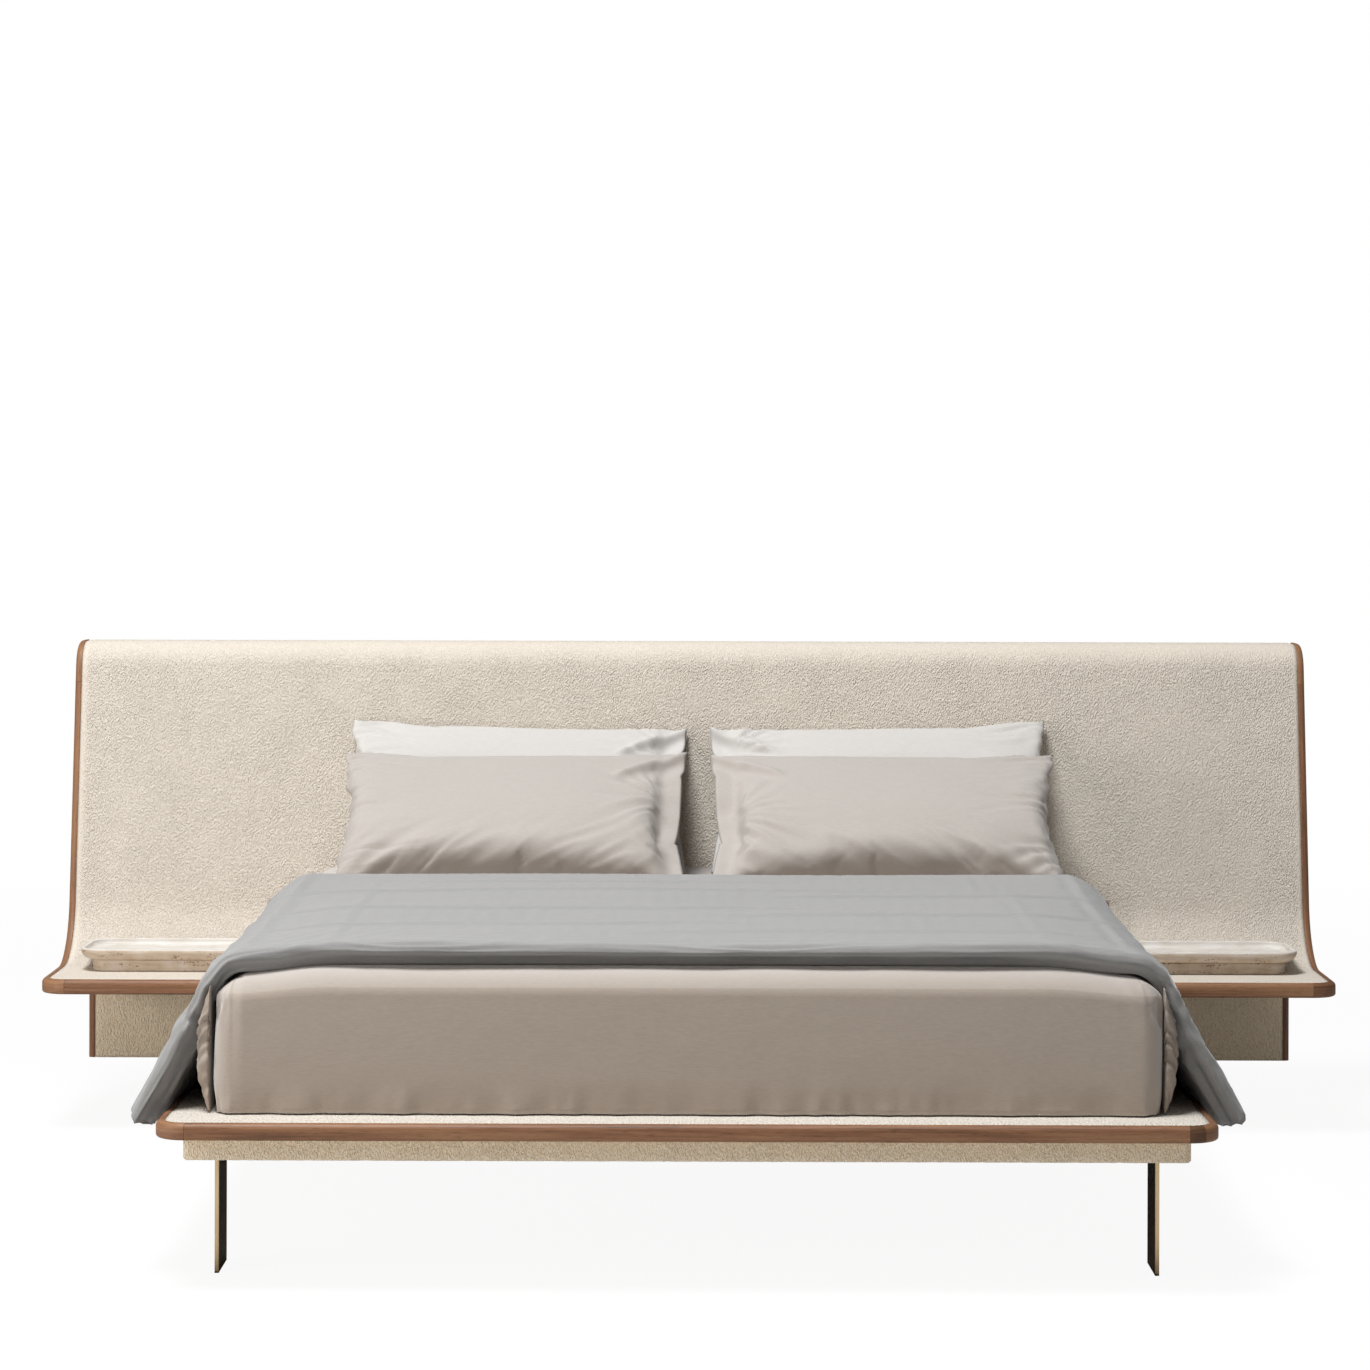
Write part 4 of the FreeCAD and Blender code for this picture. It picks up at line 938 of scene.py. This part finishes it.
core = bedCover("mattressCore", ticking, mattressShape["core"], mattressShape["low"], True)
settle(core, "bed", "mattress_ticking", "mattress")
fitted = thicken(bedCover("fittedSheet", sheetCotton, 0, mattressShape["hem"], False), mattressShape["cloth"])
settle(fitted, "bed", "taupe_sheet", "fitted_sheet")
print("mattress and fitted sheet made")


def twoLayers(name, uList, vList, placeAt, finish):
    # front and back layers that share their border, as a sewn case has
    points, faces, index, marks = [], [], {}, []
    lastU, lastV = len(uList) - 1, len(vList) - 1
    for side in (1, -1):
        for i, u in enumerate(uList):
            for j, v in enumerate(vList):
                onBorder = i in (0, lastU) or j in (0, lastV)
                if side == -1 and onBorder:
                    index[side, i, j] = index[1, i, j]
                    continue
                index[side, i, j] = len(points)
                marks.append((u, v, 0 if onBorder else side))
                points.append(placeAt(*marks[-1]))
        for i in range(lastU):
            for j in range(lastV):
                ring = [index[side, i, j], index[side, i + 1, j], index[side, i + 1, j + 1], index[side, i, j + 1]]
                faces.append(ring if side == 1 else ring[::-1])
    return makePiece(name, points, faces, finish), np.array(marks)


def runCloth(piece, recipe, filled=None, held=None, calm=None):
    # runs the cloth solver and keeps the last frame as the mesh: filled cases swell, held cloth stays near its place,
    # and cloth that isn't calm is cut larger than its place and buckles
    for name, weights in (("filled", filled), ("held", held), ("calm", calm)):
        if weights is not None:
            group = piece.vertex_groups.new(name=name)
            for i, weight in enumerate(weights):
                group.add([i], float(weight), "REPLACE")
    cloth = piece.modifiers.new("cloth", "CLOTH")
    s = cloth.settings
    s.quality = 5
    s.mass = 0.25
    s.air_damping = 1.0
    s.tension_stiffness = s.compression_stiffness = recipe["stiffness"]
    s.shear_stiffness = recipe["stiffness"] * 0.3
    s.bending_stiffness = recipe["bending"]
    if filled is not None:
        s.use_pressure = True
        s.uniform_pressure_force = recipe["pressure"]
        s.vertex_group_pressure = "filled"
    if held is not None:
        s.vertex_group_mass = "held"
        s.pin_stiffness = recipe["hold"]
    if calm is not None:
        s.vertex_group_shrink = "calm"
        s.shrink_min, s.shrink_max = -recipe["growth"], 0.0
    s.effector_weights.gravity = 0
    cloth.point_cache.frame_start, cloth.point_cache.frame_end = 1, recipe["frames"]
    for step in range(1, recipe["frames"] + 1):
        scene.frame_set(step)
    done = bakedMesh(piece)
    piece.modifiers.clear()
    piece.vertex_groups.clear()
    piece.data = done
    done.name = piece.name
    scene.frame_set(1)


def meshPoints(piece):
    flat = np.zeros(len(piece.data.vertices) * 3)
    piece.data.vertices.foreach_get("co", flat)
    return flat.reshape(-1, 3)


def setPoints(piece, places):
    piece.data.vertices.foreach_set("co", np.asarray(places, float).ravel())
    piece.data.update()


pillowShape = {"length": 0.860, "height": 0.535, "step": 0.0066, "flap": 0.062, "thickness": 0.166,
               "pressure": 4.0, "frames": 17, "stiffness": 25, "bending": 0.03, "topFill": 0.6,
               "finalLength": 0.820, "finalHeight": 0.470, "startHalf": 0.020, "backShare": 0.72, "slump": 0.55,
               "gather": 0.026, "hemFold": 0.014, "drawn": (0.011, 0.008), "belly": 0.011, "sway": (0.014, 0.005),
               "ragged": 0.012, "clear": 0.0025}
pillowHem = 0.5 - pillowShape["flap"] / pillowShape["length"]  # where the filling ends and the flap begins


def pillowForm():
    # local: X along the pillow, Y up it, Z through it; the open hemmed end is at +X
    p = pillowShape

    def fullness(u, v):
        along = math.cos(math.pi * u / (2 * pillowHem if u > 0 else 1)) if u < pillowHem else 0
        return (max(along, 0) * max(math.cos(math.pi * v), 0)) ** 0.5

    def flatAt(u, v, side):
        jitter = ripple(u * 12, v * 9, side * 3.0) * 0.002
        return u * p["length"], v * p["height"], side * (0.0015 + p["startHalf"] * fullness(u, v) + jitter)

    def fillAt(u, v):
        # more filling low down, none in the flap
        return (1 - ease((u - pillowHem + 0.015) / 0.015)) * (p["topFill"] + (1 - p["topFill"]) * (0.5 - v))

    uList = spread(-0.5, 0.5, p["step"] / p["length"])
    vList = spread(-0.5, 0.5, p["step"] / p["height"])
    piece, marks = twoLayers("pillowForm", uList, vList, flatAt, greigeCotton)
    runCloth(piece, p, filled=[fillAt(u, v) for u, v, side in marks])
    places = meshPoints(piece)
    size = places.max(0) - places.min(0)
    print("pillow filled to", [round(float(x), 3) for x in size])
    places *= np.array([p["finalLength"] / size[0], p["finalHeight"] / size[1], p["thickness"] / size[2]])
    setPoints(piece, places)
    return piece, marks


pillowBase, pillowMarks = pillowForm()
frontLean, backLean = math.radians(54), math.radians(46)
frontRest = {"lean": frontLean, "finish": greigeCotton, "slot": "greige_pillow", "rise": 0.0}
backRest = {"lean": backLean, "finish": whiteCotton, "slot": "white_pillow", "rise": 0.018}
pillowRests = {
    "pillow_front_left": {**frontRest, "mirror": False, "seed": 2, "pinch": 0.04},
    "pillow_front_right": {**frontRest, "mirror": True, "seed": 9, "pinch": -0.08},
    "pillow_back_left": {**backRest, "mirror": False, "seed": 15, "pinch": 0.25},
    "pillow_back_right": {**backRest, "mirror": True, "seed": 23, "pinch": 0.30},
}


def boxMiddle(node):
    low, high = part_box(node)
    return (low + high) / 2


def pillowCrease(u, v, seed, pinch):
    # gathers at the closed end, folds spreading from the hem, slanting folds under the belly
    p = pillowShape
    x, y = u * p["length"], v * p["height"]
    bent = v * 17 + 2 * ripple(u * 5, v * 5, seed)
    crease = p["gather"] * math.exp(-(u + 0.5) / 0.10) * crest(bent, u * 4, seed) * ease((u + 0.5) / 0.03)
    fromX, fromY = x - 0.455 * p["length"], y - pinch * p["height"]
    reach, turn = math.hypot(fromX, fromY), math.atan2(fromY, -fromX)
    crease += p["hemFold"] * bell((reach - 0.05) / 0.11) * ease(reach / 0.03) * crest(turn * 4.2, reach * 4, seed + 4)
    # the flap's upper corner draws one long fold across
    fromX, fromY = x - 0.27 * p["length"], y - 0.20 * p["height"]
    along, off = fromX * 0.78 + fromY * 0.62, fromY * 0.78 - fromX * 0.62
    ridge, dip = p["drawn"]
    drawn = ease(along / 0.06) * (ridge * bell(off / 0.011) - dip * bell((off + 0.030) / 0.024))
    across, down = x * 0.58 - y * 0.81, x * 0.81 + y * 0.58
    crease += drawn + p["belly"] * bell((v + 0.40) / 0.16) * crest(across * 25, down * 5, seed + 8)
    return crease + 0.004 * ripple(u * 3.2, v * 2.4, seed + 11), drawn


def pillowPiece(node, rest):
    # one filled case, creased its own way, leaned back and flattened where it meets the bed and its neighbours
    mesh = pillowBase.data.copy()
    mesh.name = "pillow" + "".join(part.capitalize() for part in node.split("_")[1:])
    piece = addObject(mesh)
    mesh.materials[0] = rest["finish"]
    local, seed, p = meshPoints(piece), rest["seed"], pillowShape
    for k, (u, v, side) in enumerate(pillowMarks):
        crease, drawn = pillowCrease(u, v, seed, rest["pinch"])
        deep = local[k, 2] * (1 - p["slump"] * ease((v + 0.15) / 0.65)) * (1 if side >= 0 else p["backShare"])
        deep += crease * side * (1 - 0.75 * ease((u - pillowHem + 0.03) / 0.03))
        hem = ease((u - pillowHem + 0.03 + 0.02 * ripple(v * 5, 4.0, seed)) / 0.07)
        sway = p["sway"][0] * ripple(v * 3.2, u * 5, seed) + p["sway"][1] * ripple(v * 9, u * 4, seed + 5)
        local[k, 2] = deep * (1 - hem) + hem * (side * 0.0022 + sway + drawn)
        local[k, 0] -= p["ragged"] * math.exp(-(u + 0.5) / 0.03) * ripple(v * 11, 6.0, seed)
    turn = -1 if rest["mirror"] else 1
    lean, middle = rest["lean"], boxMiddle(node)
    x = middle.x + turn * (local[:, 0] - 0.008)
    y = middle.y + local[:, 1] * math.sin(lean) - local[:, 2] * math.cos(lean)
    z = middle.z + local[:, 1] * math.cos(lean) + local[:, 2] * math.sin(lean)
    z += rest["rise"] * (0.5 - pillowMarks[:, 0]) * (pillowMarks[:, 1] + 0.5)  # the closed end stands higher
    # plane between the two rows of pillows, and the face of the headboard
    front, back = boxMiddle("pillow_front_left"), boxMiddle("pillow_back_left")
    between = (frontLean + backLean) / 2
    ny, nz = -math.cos(between), math.sin(between)
    gap = (y - (front.y + back.y) / 2) * ny + (z - (front.z + back.z) / 2) * nz
    isFront = "front" in node
    push = np.maximum(0, p["clear"] - gap) if isFront else -np.maximum(0, gap + p["clear"])
    y, z = y + ny * push, z + nz * push
    if not isFront:
        fy, fz, hy, hz = boardAt(coveEnd + 0.2)
        short = np.maximum(0, 0.004 - ((y - fy) * hy + (z - fz) * hz))
        y, z = y + hy * short, z + hz * short
    z = np.maximum(z, mattressShape["top"] + 0.0022)
    setPoints(piece, np.stack([x, y, z], 1))
    if rest["mirror"]:
        mesh.flip_normals()
    settle(piece, node, rest["slot"], node)


for node, rest in pillowRests.items():
    pillowPiece(node, rest)
bpy.data.objects.remove(pillowBase)
print("pillows placed")

duvetShape = {"top": 0.6414, "flat": 0.843, "bend": 0.082, "slope": math.radians(29.7), "steeper": math.radians(25.5),
              "drop": 0.313, "longer": 0.008, "topThick": 0.044, "bendThick": 0.031, "dropThick": 0.050,
              "cornerThick": 0.012, "front": -1.030, "back": 0.300, "shift": 0.001, "stepU": 0.0105, "stepV": 0.0075,
              "hemEdge": 0.012, "frontEdge": 0.024, "backEdge": 0.030, "undercut": 0.030, "undercutRun": 0.03,
              "waves": 0.006, "gather": 0.005, "frontWave": 0.003, "frontStreak": 0.0110, "dropStreak": (0.007, 0.006),
              "slip": 0.006, "waver": 0.008, "stiffness": 12, "bending": 0.4, "hold": 0.05, "growth": 0.08,
              "frames": 6, "most": 0.014}
# long pressed creases on the top: start and end in X, Y at each, height, half-width
duvetCreases = [(-0.98, 0.45, -0.10, -0.06, 0.0060, 0.012), (-0.96, 0.30, -0.46, -0.40, 0.0065, 0.012),
                (-0.94, 0.15, -0.72, -0.66, 0.0060, 0.013), (0.10, 0.98, -0.20, -0.12, 0.0055, 0.012),
                (0.00, 0.96, -0.58, -0.50, 0.0060, 0.013), (-0.20, 0.90, -0.84, -0.80, 0.0050, 0.014),
                (-0.70, 0.30, 0.10, 0.13, 0.0050, 0.012)]


def borderSpread(low, high, step, edge):
    # even steps with finer ones beside both ends, where the edge rolls over
    fine = [edge * (1 - math.cos(math.pi / 2 * k / 9)) for k in range(9)]
    return [low + f for f in fine] + spread(low + edge, high - edge, step) + [high - f for f in reversed(fine)]


def duvetPiece():
    d = duvetShape
    flat, arc = d["flat"], d["bend"] * (math.pi / 2 - d["slope"])
    halfRun = flat + arc + d["drop"]

    def hangAt(u):
        return ease((abs(u) - flat) / (arc + 0.06))

    def sectionAt(u, v):
        # place, outward direction and thickness on the outer face, from the left hem to the right one
        side, run = (1 if u >= 0 else -1), abs(u)
        angle = math.pi / 2 - min(max(run - flat, 0.0), arc) / d["bend"]
        further = ease((v + 1.0) / 0.25)
        past = max(0.0, run - flat - arc) * (1 + d["longer"] / d["drop"] * further)
        slope = d["slope"] + (d["steeper"] - d["slope"]) * further
        x = min(run, flat) + d["bend"] * math.cos(angle) + past * math.sin(slope)
        z = d["top"] - d["bend"] * (1 - math.sin(angle)) - past * math.cos(slope)
        thick = d["topThick"] + (d["bendThick"] - d["topThick"]) * ease((run - flat + 0.10) / (0.10 + arc))
        thick += (d["dropThick"] - d["bendThick"]) * ease((run - flat - arc - 0.01) / 0.12)
        return side * x, z - edgeDroop(x, v), side * math.cos(angle), math.sin(angle), thick

    def creaseLift(x, v):
        lift = 0.0
        for x0, x1, y0, y1, height, reach in duvetCreases:
            t = (x - x0) / (x1 - x0)
            off = (v - y0 - (y1 - y0) * t - 0.02 * ripple(x * 3, y0 * 7, 1.0)) / reach
            fold = bell(off) - 0.9 * bell(off - 1.3)  # a sharp ridge with a dip behind it
            lift += height * fold * ease(t * 5) * ease((1 - t) * 5)
        return lift + d["waves"] * ripple(x * 1.6, v * 3.4, 2.0)

    def placeAt(u, v, side):
        x, z, nx, nz, thick = sectionAt(u, v)
        ahead, hang = v - d["front"], hangAt(u)
        near = min((halfRun - abs(u)) / d["hemEdge"], ahead / d["frontEdge"], (d["back"] - v) / d["backEdge"], 1)
        roll = math.sqrt(max(0.0, 1 - (1 - near) ** 2))
        lift = creaseLift(x, v) * (1 - hang)
        # gathers over each shoulder, slanting away from the front edge
        nearFront = math.exp(-ahead / 0.090)
        shoulder = bell((abs(u) - flat - 0.02) / 0.17)
        lift += d["gather"] * nearFront * shoulder * ripple(abs(u) * 27 + v * 16, v * 5, u)
        lift += d["frontWave"] * nearFront * ripple(u * 9, v * 7, 8.0)
        # streaks along the rolled front edge
        wrap = side * (roll + max(0.0, ahead - d["frontEdge"]) / 0.030)
        streak = crest(wrap * 2.6 + 1.2 * ripple(u * 3.1, 5.0, 0.0), u * 3.6, 6.0)
        streak *= d["frontStreak"] * math.exp(-ahead / 0.05) * (0.6 + 0.4 * max(shoulder, hang))
        lift += streak * roll
        # streaks down the drop
        broad, fine = d["dropStreak"]
        lift += broad * hang * ripple(v * 8, abs(u) * 1.6, 11.0 + nx)
        lift += fine * hang * ripple(v * 26 + abs(u) * 5, u * 2, 13.0)
        if side < 0:
            lift = 0.5 * lift if hang > 0.9 else 0.25 * max(lift, 0.0)
        under = math.exp(-ahead / d["undercutRun"])
        thick += d["cornerThick"] * shoulder * under
        out = (0.5 * side * (0.10 + 0.90 * roll) - 0.5) * thick + lift * (0.4 + 0.6 * roll)
        tuck = d["undercut"] * (1 - side) / 2 * under * (1 - 0.7 * shoulder)
        slip = d["slip"] * ripple(u * 5, 2.0, v * 2) * nearFront - streak * (1 - roll)
        waver = d["waver"] * hang * ripple(v * 5, 3.0, u)
        return x + nx * out + d["shift"], v + slip + tuck, z + nz * out + waver

    uList = borderSpread(-halfRun, halfRun, d["stepU"], d["hemEdge"])
    vList = borderSpread(d["front"], d["back"], d["stepV"], d["frontEdge"])
    piece, marks = twoLayers("duvetFolded", uList, vList, placeAt, duvetCotton)
    start = meshPoints(piece)
    held, calm = [], []
    for u, v, side in marks:
        hang, nearFront = hangAt(u), math.exp(-(v - d["front"]) / 0.12)
        held.append(0.50 if side >= 0 or hang > 0.9 else 1.0)
        calm.append(min(1.0, 0.96 + 0.04 * nearFront - 0.36 * hang))
    runCloth(piece, d, held=held, calm=calm)
    moved = meshPoints(piece) - start
    length = np.linalg.norm(moved, axis=1)
    print("duvet moved", round(float(length.mean()), 4), "at most", round(float(length.max()), 4))
    setPoints(piece, start + moved * np.minimum(1, d["most"] / np.maximum(length, 1e-9))[:, None])
    return piece


settle(duvetPiece(), "bed", "grey_duvet", "duvet")

foldShape = {"inner": 0.9068, "outer": 0.9400, "low": 0.3245, "high": 0.562, "front": -1.042, "back": 0.127,
             "swell": 0.024, "thin": 0.17, "crevice": 0.15, "crease": 0.024, "grid": 0.009, "cloth": 0.0016,
             "levels": (0.0, 0.10, 0.27, 0.52, 0.73, 0.90, 1.0),
             "widths": (0.006, 0.0145, 0.0260, 0.0295, 0.0225, 0.009, 0.001)}


def sheetFold(label, side):
    # spare sheet bunched along the mattress: a slack leaf, open below, swelling from its thin front end
    f = foldShape
    runs = [f["front"] + f["swell"] * (1 - math.cos(math.pi / 2 * k / 14)) for k in range(14)]
    runs += spread(f["front"] + f["swell"], f["back"], f["grid"])
    points, count = [], 72
    for y in runs:
        past = min((y - f["front"]) / f["swell"], 1)
        arch = math.sqrt(1 - (1 - past) ** 2)
        swell = f["thin"] + (1 - f["thin"]) * arch
        for k in range(count + 1):
            t = k / count  # from the inner hem, over the top, down to the outer hem
            level = 1 - abs(2 * t - 1)
            z = f["low"] + (f["high"] - f["low"]) * level
            wide = float(np.interp(level, f["levels"], f["widths"]))
            crease = crest(z * 30 + y * 55, y * 7, 3.0 * side) + 0.3 * ripple(z * 80 + y * 60, y * 16, 5.0 + side)
            crease *= f["crease"] * min(wide / 0.016, 1)
            if t > 0.5:
                x = 0.9 * wide * swell + 0.5 * crease * past
            else:
                x = f["crevice"] * wide * (1 - arch)  # leaves a crevice beside the mattress
            x = f["inner"] + min(max(x, 0.0), f["outer"] - f["inner"])
            points.append((side * x, y - crease * math.sqrt(1 - past), z))
    faces = gridFaces(len(runs), count + 1)
    # the folds take the darker sheet cotton, painted shade
    piece = turnOutward(makePiece(f"sheetFold{label.capitalize()}", points, faces, shadedFoldCotton))
    thicken(piece, f["cloth"])
    settle(piece, "bed", "taupe_sheet", f"sheet_fold_{label}")


sheetFold("left", -1)
sheetFold("right", 1)
print("duvet and sheet folds made")

cameraShape = {"lens": 98.54, "place": (0.012, -8.165, 1.506), "yaw": 0.153, "roll": 0.15, "shift": -0.1423}
lens = bpy.data.cameras.new("photoCamera")
lens.lens = cameraShape["lens"]
lens.sensor_width = 36
lens.clip_end = 200
lens.shift_y = cameraShape["shift"]  # the photo's uprights are parallel
camera = addObject(lens)
camera.location = cameraShape["place"]
camera.rotation_euler = (math.pi / 2, -math.radians(cameraShape["roll"]), math.radians(cameraShape["yaw"]))
scene.camera = camera

lampShape = {"fill": 0.194, "fillTint": "fffbf7", "floorGlow": 0.93, "floorFade": (3.0, 7.0), "floorTone": (0.64, 0.95),
             "floorHalf": 40}
lamps = {"softKey": {"place": (-1.65, -2.3, 7.5), "aim": (0.0, 0.0, 0.5), "size": 2.4, "power": 672, "tint": "fafdff"},
         "sideFill": {"place": (-4.8, -3.0, 1.3), "aim": (-0.6, 0.6, 0.4), "size": 2.6, "power": 88, "tint": "fff9f2"}}
for name, shape in lamps.items():
    lamp = bpy.data.lights.new(name, "AREA")
    lamp.size = shape["size"]
    lamp.energy = shape["power"]
    lamp.color = hexColour(shape["tint"])[:3]
    holder = addObject(lamp)
    holder.location = shape["place"]
    holder.rotation_euler = (Vector(shape["aim"]) - holder.location).to_track_quat("-Z", "Y").to_euler()

# the eye sees white behind the bed, while the bed gets only a dim even fill
world = bpy.data.worlds.new("studio")
scene.world = world
world.use_nodes = True
skyTree = world.node_tree
skyTree.nodes.clear()
rays = addNode(skyTree, "ShaderNodeLightPath").outputs
seen = reckon(skyTree, "MAXIMUM", rays["Is Camera Ray"], rays["Is Transmission Ray"])
level = remap(skyTree, seen, lampShape["fill"], 1.0)
skyTone = mixed(skyTree, seen, hexColour(lampShape["fillTint"]), (1, 1, 1, 1))
sky = addNode(skyTree, "ShaderNodeBackground", {"Color": skyTone, "Strength": level})
addNode(skyTree, "ShaderNodeOutputWorld", {"Surface": sky.outputs[0]})

# all glow away from the bed, so that the floor runs into the white behind it
floorMaterial, floorTree = newTree("studioFloor")
cameraRay = addNode(floorTree, "ShaderNodeLightPath").outputs["Is Camera Ray"]
matte = addNode(floorTree, "ShaderNodeBsdfDiffuse", {"Color": remap(floorTree, cameraRay, *lampShape["floorTone"])})
glow = addNode(floorTree, "ShaderNodeEmission", {"Color": (1, 1, 1, 1), "Strength": 1.0})
away = addNode(floorTree, "ShaderNodeVectorMath", {0: objectPlace(floorTree)}, operation="LENGTH").outputs["Value"]
fade = remap(floorTree, away, lampShape["floorGlow"], 1.0, *lampShape["floorFade"])
share = reckon(floorTree, "MULTIPLY", cameraRay, fade)
both = addNode(floorTree, "ShaderNodeMixShader", {0: share, 1: matte.outputs[0], 2: glow.outputs[0]})
closeTree(floorTree, both.outputs[0])
wide = lampShape["floorHalf"]
corners = [(-wide, -wide, 0), (wide, -wide, 0), (wide, wide, 0), (-wide, wide, 0)]
makePiece("studioFloor", corners, [(0, 1, 2, 3)], floorMaterial)

scene.view_settings.view_transform = "Standard"
